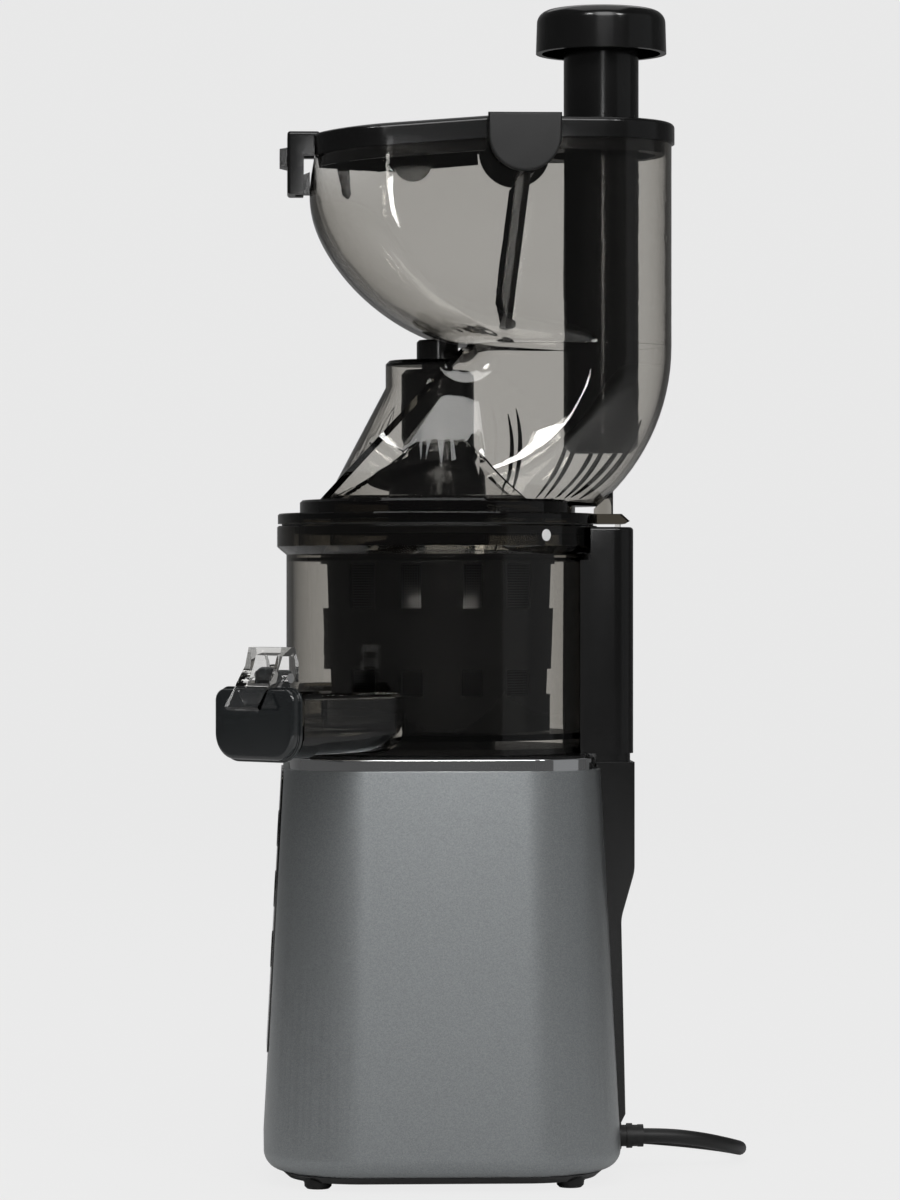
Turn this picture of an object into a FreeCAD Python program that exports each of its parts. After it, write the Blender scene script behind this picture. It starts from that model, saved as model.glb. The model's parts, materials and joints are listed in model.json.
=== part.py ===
import FreeCAD, Part
import math
import os
import re
from types import SimpleNamespace

import Sketcher

# A cold press juicer with a vertical auger, a big folding hopper and a pusher.
# Millimetres. +Z is up, the floor is Z = 0 and the auger turns on the Z axis.
# The control panel faces -Y, the rear column and the cord are at +Y, and the
# juice spout points between +X and -Y.

SIZES = (
    ("Clearances", (
        ("seat_gap", 0.3, "between pieces that lift or turn apart"),
        ("fix_gap", 0.1, "between pieces fastened to each other"),
        ("run_gap", 0.08, "radial, round a turning shaft or pin"),
    )),
    ("Base housing", (
        ("housing_centre_y", 0.7, "middle of the housing from the auger axis"),
        ("housing_top_half", 67.1, "half width at the top edge"),
        ("housing_foot_half", 76.2, "half width at the foot"),
        ("housing_top_round", 34.0, "plan corner radius at the top"),
        ("housing_foot_round", 43.1, "plan corner radius at the foot"),
        ("housing_top_z", 175.0, "top edge height"),
        ("housing_foot_z", 6.0, "lowest edge of the painted shell"),
        ("housing_foot_edge", 8.0, "radius rolled under at the foot"),
        ("housing_wall", 3.0, "shell thickness"),
        ("top_opening_half", 64.7, "half width of the opening for the ring"),
        ("foot_opening_half", 60.0, "half width of the opening in the floor"),
        ("opening_round", 31.0, "plan corner radius of both openings"),
    )),
    ("Ring, deck and base plate", (
        ("ring_wall", 2.0, "chrome ring thickness"),
        ("ring_top_z", 180.0, "top of the chrome ring"),
        ("ring_seat_z", 170.0, "flange that carries the ring"),
        ("deck_top_z", 181.0, "surface that the drum stands on"),
        ("deck_flange", 4.0, "flange under the ring"),
        ("deck_plate", 4.0, "deck thickness"),
        ("hub_radius", 19.0, "raised hub round the drive shaft"),
        ("hub_top_z", 184.0, "top of the hub"),
        ("base_plate_z", 3.0, "underside of the base plate"),
        ("base_plate_boss", 4.0, "height of its raised middle"),
        ("foot_radius", 6.2, "rubber foot"),
        ("foot_place", 53.0, "foot from the middle both ways"),
        ("foot_sink", 2.0, "depth of a foot's socket"),
        ("screw_radius", 1.6, "base screw shank"),
        ("screw_head_radius", 3.2, "base screw head"),
        ("screw_length", 14.0, "base screw under its head"),
        ("screw_place", 42.0, "screw from the middle both ways"),
        ("screw_boss_radius", 4.5, "boss in the base plate"),
    )),
    ("Rear column", (
        ("column_half", 30.0, "half width of spine and column"),
        ("column_back_y", 82.9, "rear face"),
        ("column_top_z", 277.7, "top of the column"),
        ("column_round", 9.0, "radius of the rear corners"),
        ("spine_top_z", 177.6, "top of the lower spine"),
        ("spine_front_y", 66.4, "front of the spine above the housing"),
        ("spine_bend_z", 131.0, "where the spine starts to step in"),
        ("spine_step_z", 111.0, "where the step ends"),
        ("spine_step_y", 77.2, "rear face under the step"),
        ("spine_foot_y", 79.0, "rear face near the foot"),
        ("spine_foot_z", 23.6, "lower end of the spine"),
        ("column_neck", 1.2, "inset of the neck between spine and column"),
        ("drum_room", 1.5, "space between the drum and the column"),
        ("pin_track_radius", 78.0, "track of the interlock pin"),
        ("pin_track_depth", 3.0, "depth of the track in the column"),
        ("pin_radius", 1.25, "interlock pin"),
    )),
    ("Panel and buttons", (
        ("panel_half", 26.0, "half width of the front panel"),
        ("panel_low_z", 53.0, "lower edge"),
        ("panel_proud", 0.8, "how far it stands out"),
        ("panel_thick", 2.2, "thickness"),
        ("button_radius", 8.0, "push button"),
        ("button_pitch", 26.0, "between button centres"),
        ("button_mid_z", 122.0, "middle button"),
        ("button_proud", 0.4, "how far a button stands out of the panel"),
        ("button_length", 7.0, "button along its press"),
    )),
    ("Motor and gears", (
        ("motor_radius", 41.0, "motor can"),
        ("motor_low_z", 32.0, "bottom of the can"),
        ("motor_top_z", 104.0, "top of the can"),
        ("motor_wall", 1.6, "can thickness"),
        ("rotor_radius", 25.0, "rotor core"),
        ("rotor_shaft_radius", 4.0, "motor shaft"),
        ("fan_radius", 34.0, "cooling fan"),
        ("fan_height", 9.0, "fan blades"),
        ("gear_module", 1.0, "reduction gears"),
        ("pinion_teeth", 12, "both pinions"),
        ("wheel_teeth", 48, "both wheels"),
        ("gear_face", 9.0, "tooth width"),
        ("axle_radius", 3.0, "axle of the reduction gear"),
        ("drive_radius", 5.0, "drive shaft"),
        ("drive_top_z", 201.0, "top of the drive shaft"),
        ("drive_flat", 7.6, "across the flats of its driving end"),
        ("case_wall", 3.0, "gearbox case"),
        ("bearing_radius", 11.0, "output bearing"),
        ("bearing_height", 7.0, "output bearing"),
    )),
    ("Drum", (
        ("drum_radius", 65.2, "outer wall"),
        ("drum_wall", 3.0, "wall thickness"),
        ("drum_low_z", 181.3, "lower edge"),
        ("drum_line_z", 192.0, "small step round the foot of the drum"),
        ("drum_top_z", 278.4, "rim top"),
        ("rim_radius", 69.2, "rim"),
        ("rim_low_z", 268.5, "underside of the rim"),
        ("drum_floor_z", 190.0, "floor inside"),
        ("drum_floor", 2.6, "floor thickness"),
        ("drum_hole", 20.5, "opening in the floor"),
    )),
    ("Spouts", (
        ("spout_angle", 45.0, "turn of each spout from the side"),
        ("spout_offset", 11.0, "channel middle from the auger axis"),
        ("spout_width", 42.0, "outside width"),
        ("spout_low_z", 183.0, "underside"),
        ("spout_top_z", 208.3, "top face"),
        ("spout_wall", 2.5, "thickness"),
        ("juice_reach", 116.0, "end of the juice spout"),
        ("pulp_reach", 92.0, "end of the pulp spout"),
        ("spout_low_round", 9.0, "lower edges"),
        ("spout_top_round", 3.0, "upper edges"),
        ("spout_collar", 1.2, "collar thickness round the mouth"),
        ("spout_collar_length", 11.0, "collar along the spout"),
        ("cap_thick", 5.0, "cap door"),
        ("cap_seal_thick", 2.0, "cap seal"),
        ("cap_hinge_reach", 111.0, "cap hinge from the auger axis"),
        ("cap_hinge_z", 214.6, "cap hinge height"),
        ("cap_pin_radius", 2.0, "cap hinge pin"),
        ("cap_lever_width", 19.0, "clear lever"),
        ("cap_ear", 3.4, "thickness of each hinge ear"),
    )),
    ("Strainer and brush", (
        ("strainer_bore", 42.6, "inside the mesh"),
        ("mesh_thick", 0.5, "steel mesh"),
        ("strainer_wall", 2.0, "strainer frame"),
        ("strainer_low_z", 200.0, "underside of the strainer"),
        ("strainer_top_z", 269.6, "top of the strainer"),
        ("strainer_hole", 17.2, "opening in its floor"),
        ("brush_low_radius", 48.6, "outside at the foot"),
        ("brush_top_radius", 50.5, "outside at the top"),
        ("brush_wall", 2.0, "brush frame"),
        ("brush_low_z", 190.5, "underside of the brush ring"),
        ("brush_top_z", 266.0, "top of the brush frame"),
        ("window_count", 6, "windows round the frames"),
        ("window_width", 34.0, "window along the wall"),
        ("upper_window_z", 243.0, "lower edge of the upper windows"),
        ("upper_window", 19.0, "height of the upper windows"),
        ("lower_window_z", 206.0, "lower edge of the lower windows"),
        ("lower_window", 11.0, "height of the lower windows"),
        ("brush_module", 1.5, "brush gears"),
        ("auger_teeth", 20, "gear under the auger"),
        ("idler_teeth", 12, "idler pinion"),
        ("ring_teeth", 44, "ring gear of the brush"),
        ("brush_face", 6.0, "width of the brush gears"),
        ("idler_pin_radius", 3.0, "post of the idler"),
        ("wiper_thick", 1.4, "silicone wiper"),
    )),
    ("Auger", (
        ("auger_core", 27.0, "core at the foot"),
        ("auger_waist", 20.5, "core under the neck"),
        ("auger_waist_z", 299.0, "height of that waist"),
        ("auger_hub", 8.0, "hub through the drum seal"),
        ("auger_low_z", 185.5, "lower end of the auger"),
        ("auger_insert", 6.4, "steel insert"),
        ("auger_neck", 15.6, "neck under the tower"),
        ("auger_neck_z", 311.0, "foot of the neck"),
        ("auger_shoulder_z", 345.5, "top of the neck"),
        ("auger_pin_radius", 4.5, "upper pin"),
        ("auger_pin_z", 356.0, "top of the pin"),
        ("flight_radius", 41.6, "outside of the flight"),
        ("flight_pitch", 34.0, "rise for each turn"),
        ("flight_thick", 5.0, "flight at its root"),
        ("flight_low_z", 206.0, "foot of the flight"),
        ("flight_turns", 3.0, "turns of the flight"),
    )),
    ("Drum lid and elbow", (
        ("lid_low_z", 279.3, "underside of the flange"),
        ("lid_radius", 68.9, "flange"),
        ("lid_step_z", 283.6, "top of the flange"),
        ("step_radius", 59.4, "upper step"),
        ("step_top_z", 289.4, "top of the step"),
        ("lid_throat", 44.5, "opening over the strainer"),
        ("lid_skirt_z", 270.0, "lower edge of the skirt"),
        ("clear_wall", 2.5, "clear plastic"),
        ("cone_foot_radius", 48.0, "cone at the step"),
        ("tower_radius", 22.4, "tower"),
        ("cone_top_z", 338.0, "foot of the tower"),
        ("tower_top_z", 349.6, "top of the tower"),
        ("tower_cap_radius", 9.0, "cap on the tower"),
        ("tower_cap_z", 358.6, "top of that cap"),
        ("seam_z", 356.0, "joint of elbow and hopper"),
        ("elbow_axis_y", 11.0, "axis that the elbow bends round"),
        ("elbow_turn", 133.0, "bend of the elbow"),
        ("elbow_front_y", 12.2, "front of the elbow at the seam"),
        ("elbow_half", 31.5, "half width of its front"),
        ("elbow_corner", 18.0, "front corners in plan"),
        ("lug_end_y", 82.5, "end of the rear lug"),
        ("lug_half", 9.0, "half width of the lug"),
        ("post_radius", 4.2, "post on the lug"),
        ("post_y", 67.6, "post from the axis"),
        ("post_top_z", 294.0, "top of the post"),
    )),
    ("Hopper", (
        ("chute_y", 67.0, "middle of the chute's round"),
        ("chute_radius", 34.2, "outside of the chute"),
        ("hopper_half", 40.0, "half width of the hopper"),
        ("hopper_front_y", -55.0, "front face"),
        ("hopper_corner", 33.0, "front corners in plan"),
        ("hopper_belly_z", 418.0, "where the front face starts to curve under"),
        ("belly_power", 1.65, "fullness of that curve, 2 is an ellipse"),
        ("rim_front_z", 436.0, "rim at the front"),
        ("rim_rear_z", 442.4, "rim at the hinge"),
        ("chute_rim_z", 443.2, "rim of the chute"),
        ("hinge_y", 35.5, "hinge axis"),
        ("hinge_z", 443.7, "hinge axis"),
        ("hinge_cover_radius", 15.6, "round hinge covers"),
        ("hinge_cover_top_z", 453.0, "flat top of the covers"),
        ("hinge_cover_thick", 4.0, "thickness of a cover"),
        ("hinge_pin_radius", 2.0, "hinge pin"),
        ("hinge_barrel", 7.0, "barrel of the lid"),
        ("cover_top_z", 452.0, "top of the chute cover"),
        ("cover_front_y", 46.0, "front edge of the chute cover"),
        ("lid_wall", 2.2, "hopper lid"),
        ("lid_height", 9.4, "edge of the hopper lid"),
        ("lid_rear_y", 22.0, "rear edge of the hopper lid"),
        ("lid_front_y", -52.4, "front edge of the hopper lid"),
        ("lid_notch_y", -49.5, "notch of the lid round the latch"),
    )),
    ("Flap and latch", (
        ("flap_y", 37.5, "flap hinge"),
        ("flap_z", 431.0, "flap hinge"),
        ("flap_half", 32.3, "half width of the flap"),
        ("flap_low_half", 26.0, "half width of its lower edge"),
        ("flap_low_z", 362.0, "lower edge"),
        ("flap_low_y", 29.0, "lower edge"),
        ("flap_thick", 2.4, "plate"),
        ("flap_barrel", 3.4, "barrel on the hinge"),
        ("flap_rib", 9.0, "depth of the side ribs at the top"),
        ("latch_half", 10.0, "half width of the latch"),
        ("latch_out_y", -64.8, "outer face"),
        ("latch_in_y", -53.0, "inner face in front of the lid"),
        ("latch_low_z", 420.7, "lower end"),
        ("latch_top_z", 447.7, "upper end"),
        ("latch_pin_y", -58.4, "latch pivot"),
        ("latch_pin_z", 424.6, "latch pivot"),
        ("latch_pin_radius", 1.6, "latch pivot"),
        ("latch_pad_y", -68.1, "thumb pad"),
    )),
    ("Pusher", (
        ("pusher_y", 70.8, "pusher from the auger axis"),
        ("pusher_radius", 16.2, "stem"),
        ("pusher_bevel", 3.0, "bevel round the lower end"),
        ("pusher_wall", 2.4, "stem wall"),
        ("cap_radius", 28.2, "pusher cap"),
        ("cap_low_z", 482.5, "cap rim"),
        ("cap_top_z", 501.0, "cap top"),
        ("cap_wall", 2.6, "cap wall"),
        ("cap_edge", 5.5, "rounded upper edge"),
        ("cap_dish", 1.6, "hollow in the cap's top"),
    )),
    ("Cord", (
        ("cord_diameter", 6.3, "mains lead"),
        ("relief_radius", 5.85, "strain relief"),
        ("relief_end_y", 89.0, "end of the strain relief"),
        ("relief_z", 14.8, "height of the cord's exit"),
        ("coil_radius", 42.5, "outer turn of the coil"),
        ("coil_turns", 5.25, "turns of the coil"),
        ("coil_gap", 0.6, "between turns and between layers"),
        ("coil_x", -147.4, "middle of the coil"),
        ("coil_y", 23.9, "middle of the coil"),
        ("coil_tail", 42.0, "straight end that leads to the plug"),
        ("plug_length", 36.0, "moulded plug"),
        ("plug_width", 22.0, "moulded plug"),
        ("plug_height", 18.0, "moulded plug"),
        ("blade_length", 17.0, "plug blades"),
    )),
)


def write_sizes(document):
    """Fills the spreadsheet: a heading for each group, then name, value and note."""
    table = document.addObject("Spreadsheet::Sheet", "sizes")
    row = 1
    for heading, entries in SIZES:
        table.set(f"A{row}", heading)
        row += 1
        for alias, value, note in entries:
            table.set(f"A{row}", alias)
            table.set(f"B{row}", str(value))
            table.setAlias(f"B{row}", alias)
            table.set(f"C{row}", note)
            row += 1
    document.recompute()
    return table


doc = FreeCAD.newDocument("juicer")
sheet = write_sizes(doc)
ALIASES = [entry[0] for group in SIZES for entry in group[1]]
s = SimpleNamespace(**{alias: float(sheet.get(alias)) for alias in ALIASES})
ALIAS_WORD = re.compile(r"\b(" + "|".join(ALIASES) + r")\b")
NODES = []

Vector = FreeCAD.Vector
Rotation = FreeCAD.Rotation
UP = Vector(0, 0, 1)
ALONG_X = Vector(1, 0, 0)
ALONG_Y = Vector(0, 1, 0)
FULL = 360.0
ROOM = 400.0


def linked(expression):
    """An expression in aliases, as another object of the document reads it."""
    return ALIAS_WORD.sub(r"sizes.\1", str(expression))


def number(expression):
    """The value of an expression in aliases."""
    return float(sheet.evalExpression(str(expression)))


def bind(item, **places):
    """Binds properties, or x, y and z of the placement, to expressions."""
    for name, expression in places.items():
        path = f".Placement.Base.{name}" if name in ("x", "y", "z") else name
        item.setExpression(path, linked(expression))
    return item


def node(item, label):
    """Names a finished sub-part and lists it for writing."""
    item.Label = label
    NODES.append(item)
    return item


def feature(name, shape):
    """A sub-part, or a tool, whose form comes from Part's own functions."""
    item = doc.addObject("Part::Feature", name)
    item.Shape = shape
    return item


def arc_between(start, end, radius):
    """The shorter arc from start to end: a positive radius turns left, a negative one right."""
    middle = (start + end) * 0.5
    chord = end - start
    reach = math.sqrt(max(radius * radius - chord.Length ** 2 / 4, 0.0))
    side = 1.0 if radius > 0 else -1.0
    left = Vector(-chord.y, chord.x, 0).normalize()
    centre = middle + left * reach * side
    first, last = (start, end) if radius > 0 else (end, start)
    from_angle = math.atan2(first.y - centre.y, first.x - centre.x)
    to_angle = math.atan2(last.y - centre.y, last.x - centre.x)
    circle = Part.Circle(centre, UP, abs(radius))
    return Part.ArcOfCircle(circle, from_angle, to_angle)


def outline(body, points, plane="XY_Plane", offset=None):
    """A closed, fully bound sketch. A point is (across, up) or (across, up, radius of the arc to it)."""
    sketch = body.newObject("Sketcher::SketchObject", body.Name + "_outline")
    support = [item for item in body.Origin.OriginFeatures if item.Role == plane][0]
    sketch.AttachmentSupport = (support, "")
    sketch.MapMode = "FlatFace"
    if offset is not None:
        sketch.setExpression(".AttachmentOffset.Base.z", linked(offset))
    places = [Vector(number(point[0]), number(point[1]), 0) for point in points]
    starts = []
    ends = []
    for index, point in enumerate(points):
        start = places[index - 1]
        end = places[index]
        if len(point) == 3:
            radius = number(point[2])
            edge = sketch.addGeometry(arc_between(start, end, radius), False)
            starts.append((edge, 1 if radius > 0 else 2))
            ends.append((edge, 2 if radius > 0 else 1))
        else:
            edge = sketch.addGeometry(Part.LineSegment(start, end), False)
            starts.append((edge, 1))
            ends.append((edge, 2))
    for index, point in enumerate(points):
        follower = starts[(index + 1) % len(points)]
        sketch.addConstraint(Sketcher.Constraint("Coincident", *ends[index], *follower))
        across = sketch.addConstraint(Sketcher.Constraint("DistanceX", *ends[index], places[index].x))
        sketch.setExpression(f"Constraints[{across}]", linked(point[0]))
        up = sketch.addConstraint(Sketcher.Constraint("DistanceY", *ends[index], places[index].y))
        sketch.setExpression(f"Constraints[{up}]", linked(point[1]))
        if len(point) == 3:
            edge = ends[index][0]
            bend = sketch.addConstraint(Sketcher.Constraint("Radius", edge, abs(number(point[2]))))
            sketch.setExpression(f"Constraints[{bend}]", f"abs({linked(point[2])})")
    return sketch


def lathe(name, points, angle=FULL):
    """A body turned about its own Z axis. Points are (radius, height)."""
    body = doc.addObject("PartDesign::Body", name)
    sketch = outline(body, points, "XZ_Plane")
    turned = body.newObject("PartDesign::Revolution", name + "_turn")
    turned.Profile = sketch
    turned.ReferenceAxis = (sketch, ["V_Axis"])
    turned.Angle = angle
    return body


def slab(name, points, low, height, plane="XY_Plane"):
    """A body padded from an outline: low is the start, height the thickness, along the plane's normal."""
    body = doc.addObject("PartDesign::Body", name)
    sketch = outline(body, points, plane, low)
    pad = body.newObject("PartDesign::Pad", name + "_pad")
    pad.Profile = sketch
    pad.setExpression("Length", linked(height))
    return body


def tapered(name, low_points, low_z, high_points, high_z):
    """A body lofted between two level outlines."""
    body = doc.addObject("PartDesign::Body", name)
    low = outline(body, low_points, "XY_Plane", low_z)
    high = outline(body, high_points, "XY_Plane", high_z)
    loft = body.newObject("PartDesign::AdditiveLoft", name + "_loft")
    loft.Profile = high
    loft.Sections = [low]
    loft.Ruled = True
    return body


def dress(body, kind, radius, chosen):
    """Rounds or bevels the edges of a body that the test chosen picks."""
    doc.recompute()
    base = body.Tip
    names = [f"Edge{index + 1}" for index, edge in enumerate(base.Shape.Edges) if chosen(edge)]
    finish = body.newObject(f"PartDesign::{kind}", body.Name + "_" + kind.lower())
    finish.Base = (base, names)
    finish.setExpression("Radius" if kind == "Fillet" else "Size", linked(radius))
    body.Tip = finish
    return body


def cylinder(name, radius, height, x="0", y="0", z="0"):
    """An upright cylinder with its foot at x, y, z."""
    item = doc.addObject("Part::Cylinder", name)
    return bind(item, Radius=radius, Height=height, x=x, y=y, z=z)


def box(name, x0, x1, y0, y1, z0, z1):
    """A block between two corners."""
    item = doc.addObject("Part::Box", name)
    bind(item, Length=f"({x1}) - ({x0})", Width=f"({y1}) - ({y0})", Height=f"({z1}) - ({z0})")
    return bind(item, x=x0, y=y0, z=z0)


def fuse(name, *items):
    """One solid from several that touch or overlap."""
    item = doc.addObject("Part::MultiFuse", name)
    item.Shapes = list(items)
    item.Refine = True
    return item


def cut(name, base, *tools):
    """What is left of base."""
    tool = tools[0] if len(tools) == 1 else fuse(name + "_tools", *tools)
    item = doc.addObject("Part::Cut", name)
    item.Base = base
    item.Tool = tool
    return item


def common(name, base, tool):
    """What base and tool share."""
    item = doc.addObject("Part::Common", name)
    item.Base = base
    item.Tool = tool
    return item


def rounded_square(half, corner, middle="housing_centre_y"):
    """A square with round corners, counterclockwise, its middle on the Y axis at middle."""
    flat = f"({half}) - ({corner})"
    return (
        (flat, f"{middle} - ({half})"),
        (half, f"{middle} - ({flat})", corner),
        (half, f"{middle} + ({flat})"),
        (flat, f"{middle} + ({half})", corner),
        (f"-({flat})", f"{middle} + ({half})"),
        (f"-({half})", f"{middle} + ({flat})", corner),
        (f"-({half})", f"{middle} - ({flat})"),
        (f"-({flat})", f"{middle} - ({half})", corner),
    )


def belt(circles, height):
    """A level wire round circles (x, y, radius), counterclockwise: arcs joined by their common tangents."""
    count = len(circles)
    touches = []
    for index, (x1, y1, r1) in enumerate(circles):
        x2, y2, r2 = circles[(index + 1) % count]
        apart = math.hypot(x2 - x1, y2 - y1)
        ux, uy = (x2 - x1) / apart, (y2 - y1) / apart
        lean = (r1 - r2) / apart
        out = math.sqrt(1 - lean * lean)
        nx, ny = lean * ux + out * uy, lean * uy - out * ux
        touches.append((nx, ny))
    edges = []
    for index, (x1, y1, r1) in enumerate(circles):
        ax, ay = touches[index - 1]
        bx, by = touches[index]
        sweep = (math.atan2(by, bx) - math.atan2(ay, ax)) % (2 * math.pi)
        middle = math.atan2(ay, ax) + sweep / 2
        start = Vector(x1 + r1 * ax, y1 + r1 * ay, height)
        top = Vector(x1 + r1 * math.cos(middle), y1 + r1 * math.sin(middle), height)
        end = Vector(x1 + r1 * bx, y1 + r1 * by, height)
        edges.append(Part.Arc(start, top, end).toShape())
        x2, y2, r2 = circles[(index + 1) % count]
        edges.append(Part.makeLine(end, Vector(x2 + r2 * bx, y2 + r2 * by, height)))
    return Part.Wire(edges)


def block_of(wire, low, high):
    """A level wire filled and raised from low to high."""
    face = Part.Face(wire)
    face.translate(Vector(0, 0, low - wire.BoundBox.ZMin))
    return face.extrude(UP * (high - low))


def side_plate(points, half, middle=0.0):
    """A side outline of (y, z) points, filled and carried across X."""
    corners = [Vector(middle - half, y, z) for y, z in points]
    face = Part.Face(Part.makePolygon(corners + corners[:1]))
    return face.extrude(ALONG_X * (2 * half))


def lying_rod(radius, half, y, z, middle=0.0):
    """A round bar along X."""
    return Part.makeCylinder(radius, 2 * half, Vector(middle - half, y, z), ALONG_X)


def spur_teeth(teeth, module, inward=False):
    """The rim wire of a gear: root, rising flank, tip and falling flank for each tooth."""
    pitch_radius = teeth * module / 2
    side = -1.0 if inward else 1.0
    root = pitch_radius - side * 1.2 * module
    tip = pitch_radius + side * 0.85 * module
    step = 2 * math.pi / teeth
    corners = []
    for index in range(teeth):
        middle = index * step
        for radius, share in ((root, -0.29), (tip, -0.13), (tip, 0.13), (root, 0.29)):
            angle = middle + share * step
            corners.append(Vector(radius * math.cos(angle), radius * math.sin(angle), 0))
    return Part.makePolygon(corners + corners[:1])


def gear(teeth, module, low, face, bore, turn=0.0, inward=0.0):
    """A spur gear at the origin, or a ring gear with teeth inside when inward is its outer radius."""
    rim = Part.Face(spur_teeth(int(teeth), module, bool(inward)))
    if inward:
        ring = Part.Face(Part.Wire(Part.makeCircle(inward))).cut(rim)
    else:
        ring = rim.cut(Part.Face(Part.Wire(Part.makeCircle(bore))))
    solid = ring.extrude(UP * face)
    solid.rotate(Vector(), UP, turn)
    solid.translate(Vector(0, 0, low))
    return solid.Solids[0]


def slope(low, high, height):
    """An expression for a size that runs evenly from the housing's foot to its top."""
    share = f"(({height}) - housing_foot_z) / (housing_top_z - housing_foot_z)"
    return f"({low} + ({high} - {low}) * {share})"


def make_housing(recess):
    """The painted shell: a tapered rounded square, open over the ring and under the base."""
    outer = tapered(
        "housing_outer",
        rounded_square("housing_foot_half", "housing_foot_round"), "housing_foot_z",
        rounded_square("housing_top_half", "housing_top_round"), "housing_top_z",
    )
    foot = s.housing_foot_z
    dress(outer, "Fillet", "housing_foot_edge", lambda edge: abs(edge.BoundBox.ZMax - foot) < 0.01)
    inside = []
    for name, height in (("low", "housing_foot_z + housing_wall"), ("high", "housing_top_z - housing_wall")):
        half = slope("housing_foot_half", "housing_top_half", height) + " - housing_wall"
        corner = slope("housing_foot_round", "housing_top_round", height) + " - housing_wall"
        inside.append((rounded_square(half, corner), height))
    hollow = tapered("housing_hollow", *inside[0], *inside[1])
    low = s.housing_foot_z + s.housing_wall
    dress(hollow, "Fillet", "housing_foot_edge", lambda edge: abs(edge.BoundBox.ZMax - low) < 0.01)
    opening = rounded_square("top_opening_half", "opening_round")
    top = slab("housing_top_opening", opening, "housing_top_z - 2 * housing_wall", "3 * housing_wall")
    opening = rounded_square("foot_opening_half", "opening_round")
    floor = slab("housing_foot_opening", opening, "0", "housing_foot_z + 2 * housing_wall")
    cable = cylinder("cable_opening", "relief_radius - 1.2 + fix_gap", "3 * housing_wall + 12")
    cable.Placement.Rotation = Rotation(ALONG_X, -90)
    bind(cable, y="housing_centre_y + housing_foot_half - 2 * housing_wall - 6", z="relief_z")
    node(cut("housing", outer, hollow, top, floor, cable, recess), "housing_shell")


def make_deck():
    """The chrome ring, and the deck that the drum stands on, with a hub for the drive shaft."""
    outside = "top_opening_half - fix_gap"
    inside = f"{outside} - ring_wall"
    ring = slab("ring_outer", rounded_square(outside, "opening_round - fix_gap"), "ring_seat_z",
                "ring_top_z - ring_seat_z")
    top = s.ring_top_z
    dress(ring, "Fillet", "ring_wall / 4", lambda edge: abs(edge.BoundBox.ZMin - top) < 0.01)
    hole = slab("ring_inner", rounded_square(inside, "opening_round - fix_gap - ring_wall"),
                "ring_seat_z - 1", "ring_top_z - ring_seat_z + 2")
    node(cut("ring", ring, hole), "chrome_ring")
    half = f"{inside} - fix_gap"
    corner = "opening_round - 2 * fix_gap - ring_wall"
    plate = slab("deck_block", rounded_square(half, corner), "ring_seat_z", "deck_top_z - ring_seat_z")
    flange_half = slope("housing_foot_half", "housing_top_half", "ring_seat_z - deck_flange")
    flange_half += " - housing_wall - fix_gap - 0.3"
    flange = slab("deck_flange_block", rounded_square(flange_half, "opening_round"),
                  "ring_seat_z - deck_flange", "deck_flange")
    under = slab("deck_hollow", rounded_square(f"{half} - ring_wall", f"{corner} - ring_wall"),
                 "ring_seat_z - deck_flange - 1", "deck_top_z - deck_plate - ring_seat_z + deck_flange + 1")
    hub = cylinder("deck_hub", "hub_radius", "hub_top_z - ring_seat_z + deck_flange",
                   z="ring_seat_z - deck_flange")
    bore = cylinder("deck_bore", "bearing_radius + fix_gap", "hub_top_z - ring_seat_z + deck_flange + 2",
                    z="ring_seat_z - deck_flange - 1")
    hollowed = cut("deck_shell", fuse("deck_solid", plate, flange), under)
    node(cut("deck", fuse("deck_with_hub", hollowed, hub), bore), "top_deck")


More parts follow.
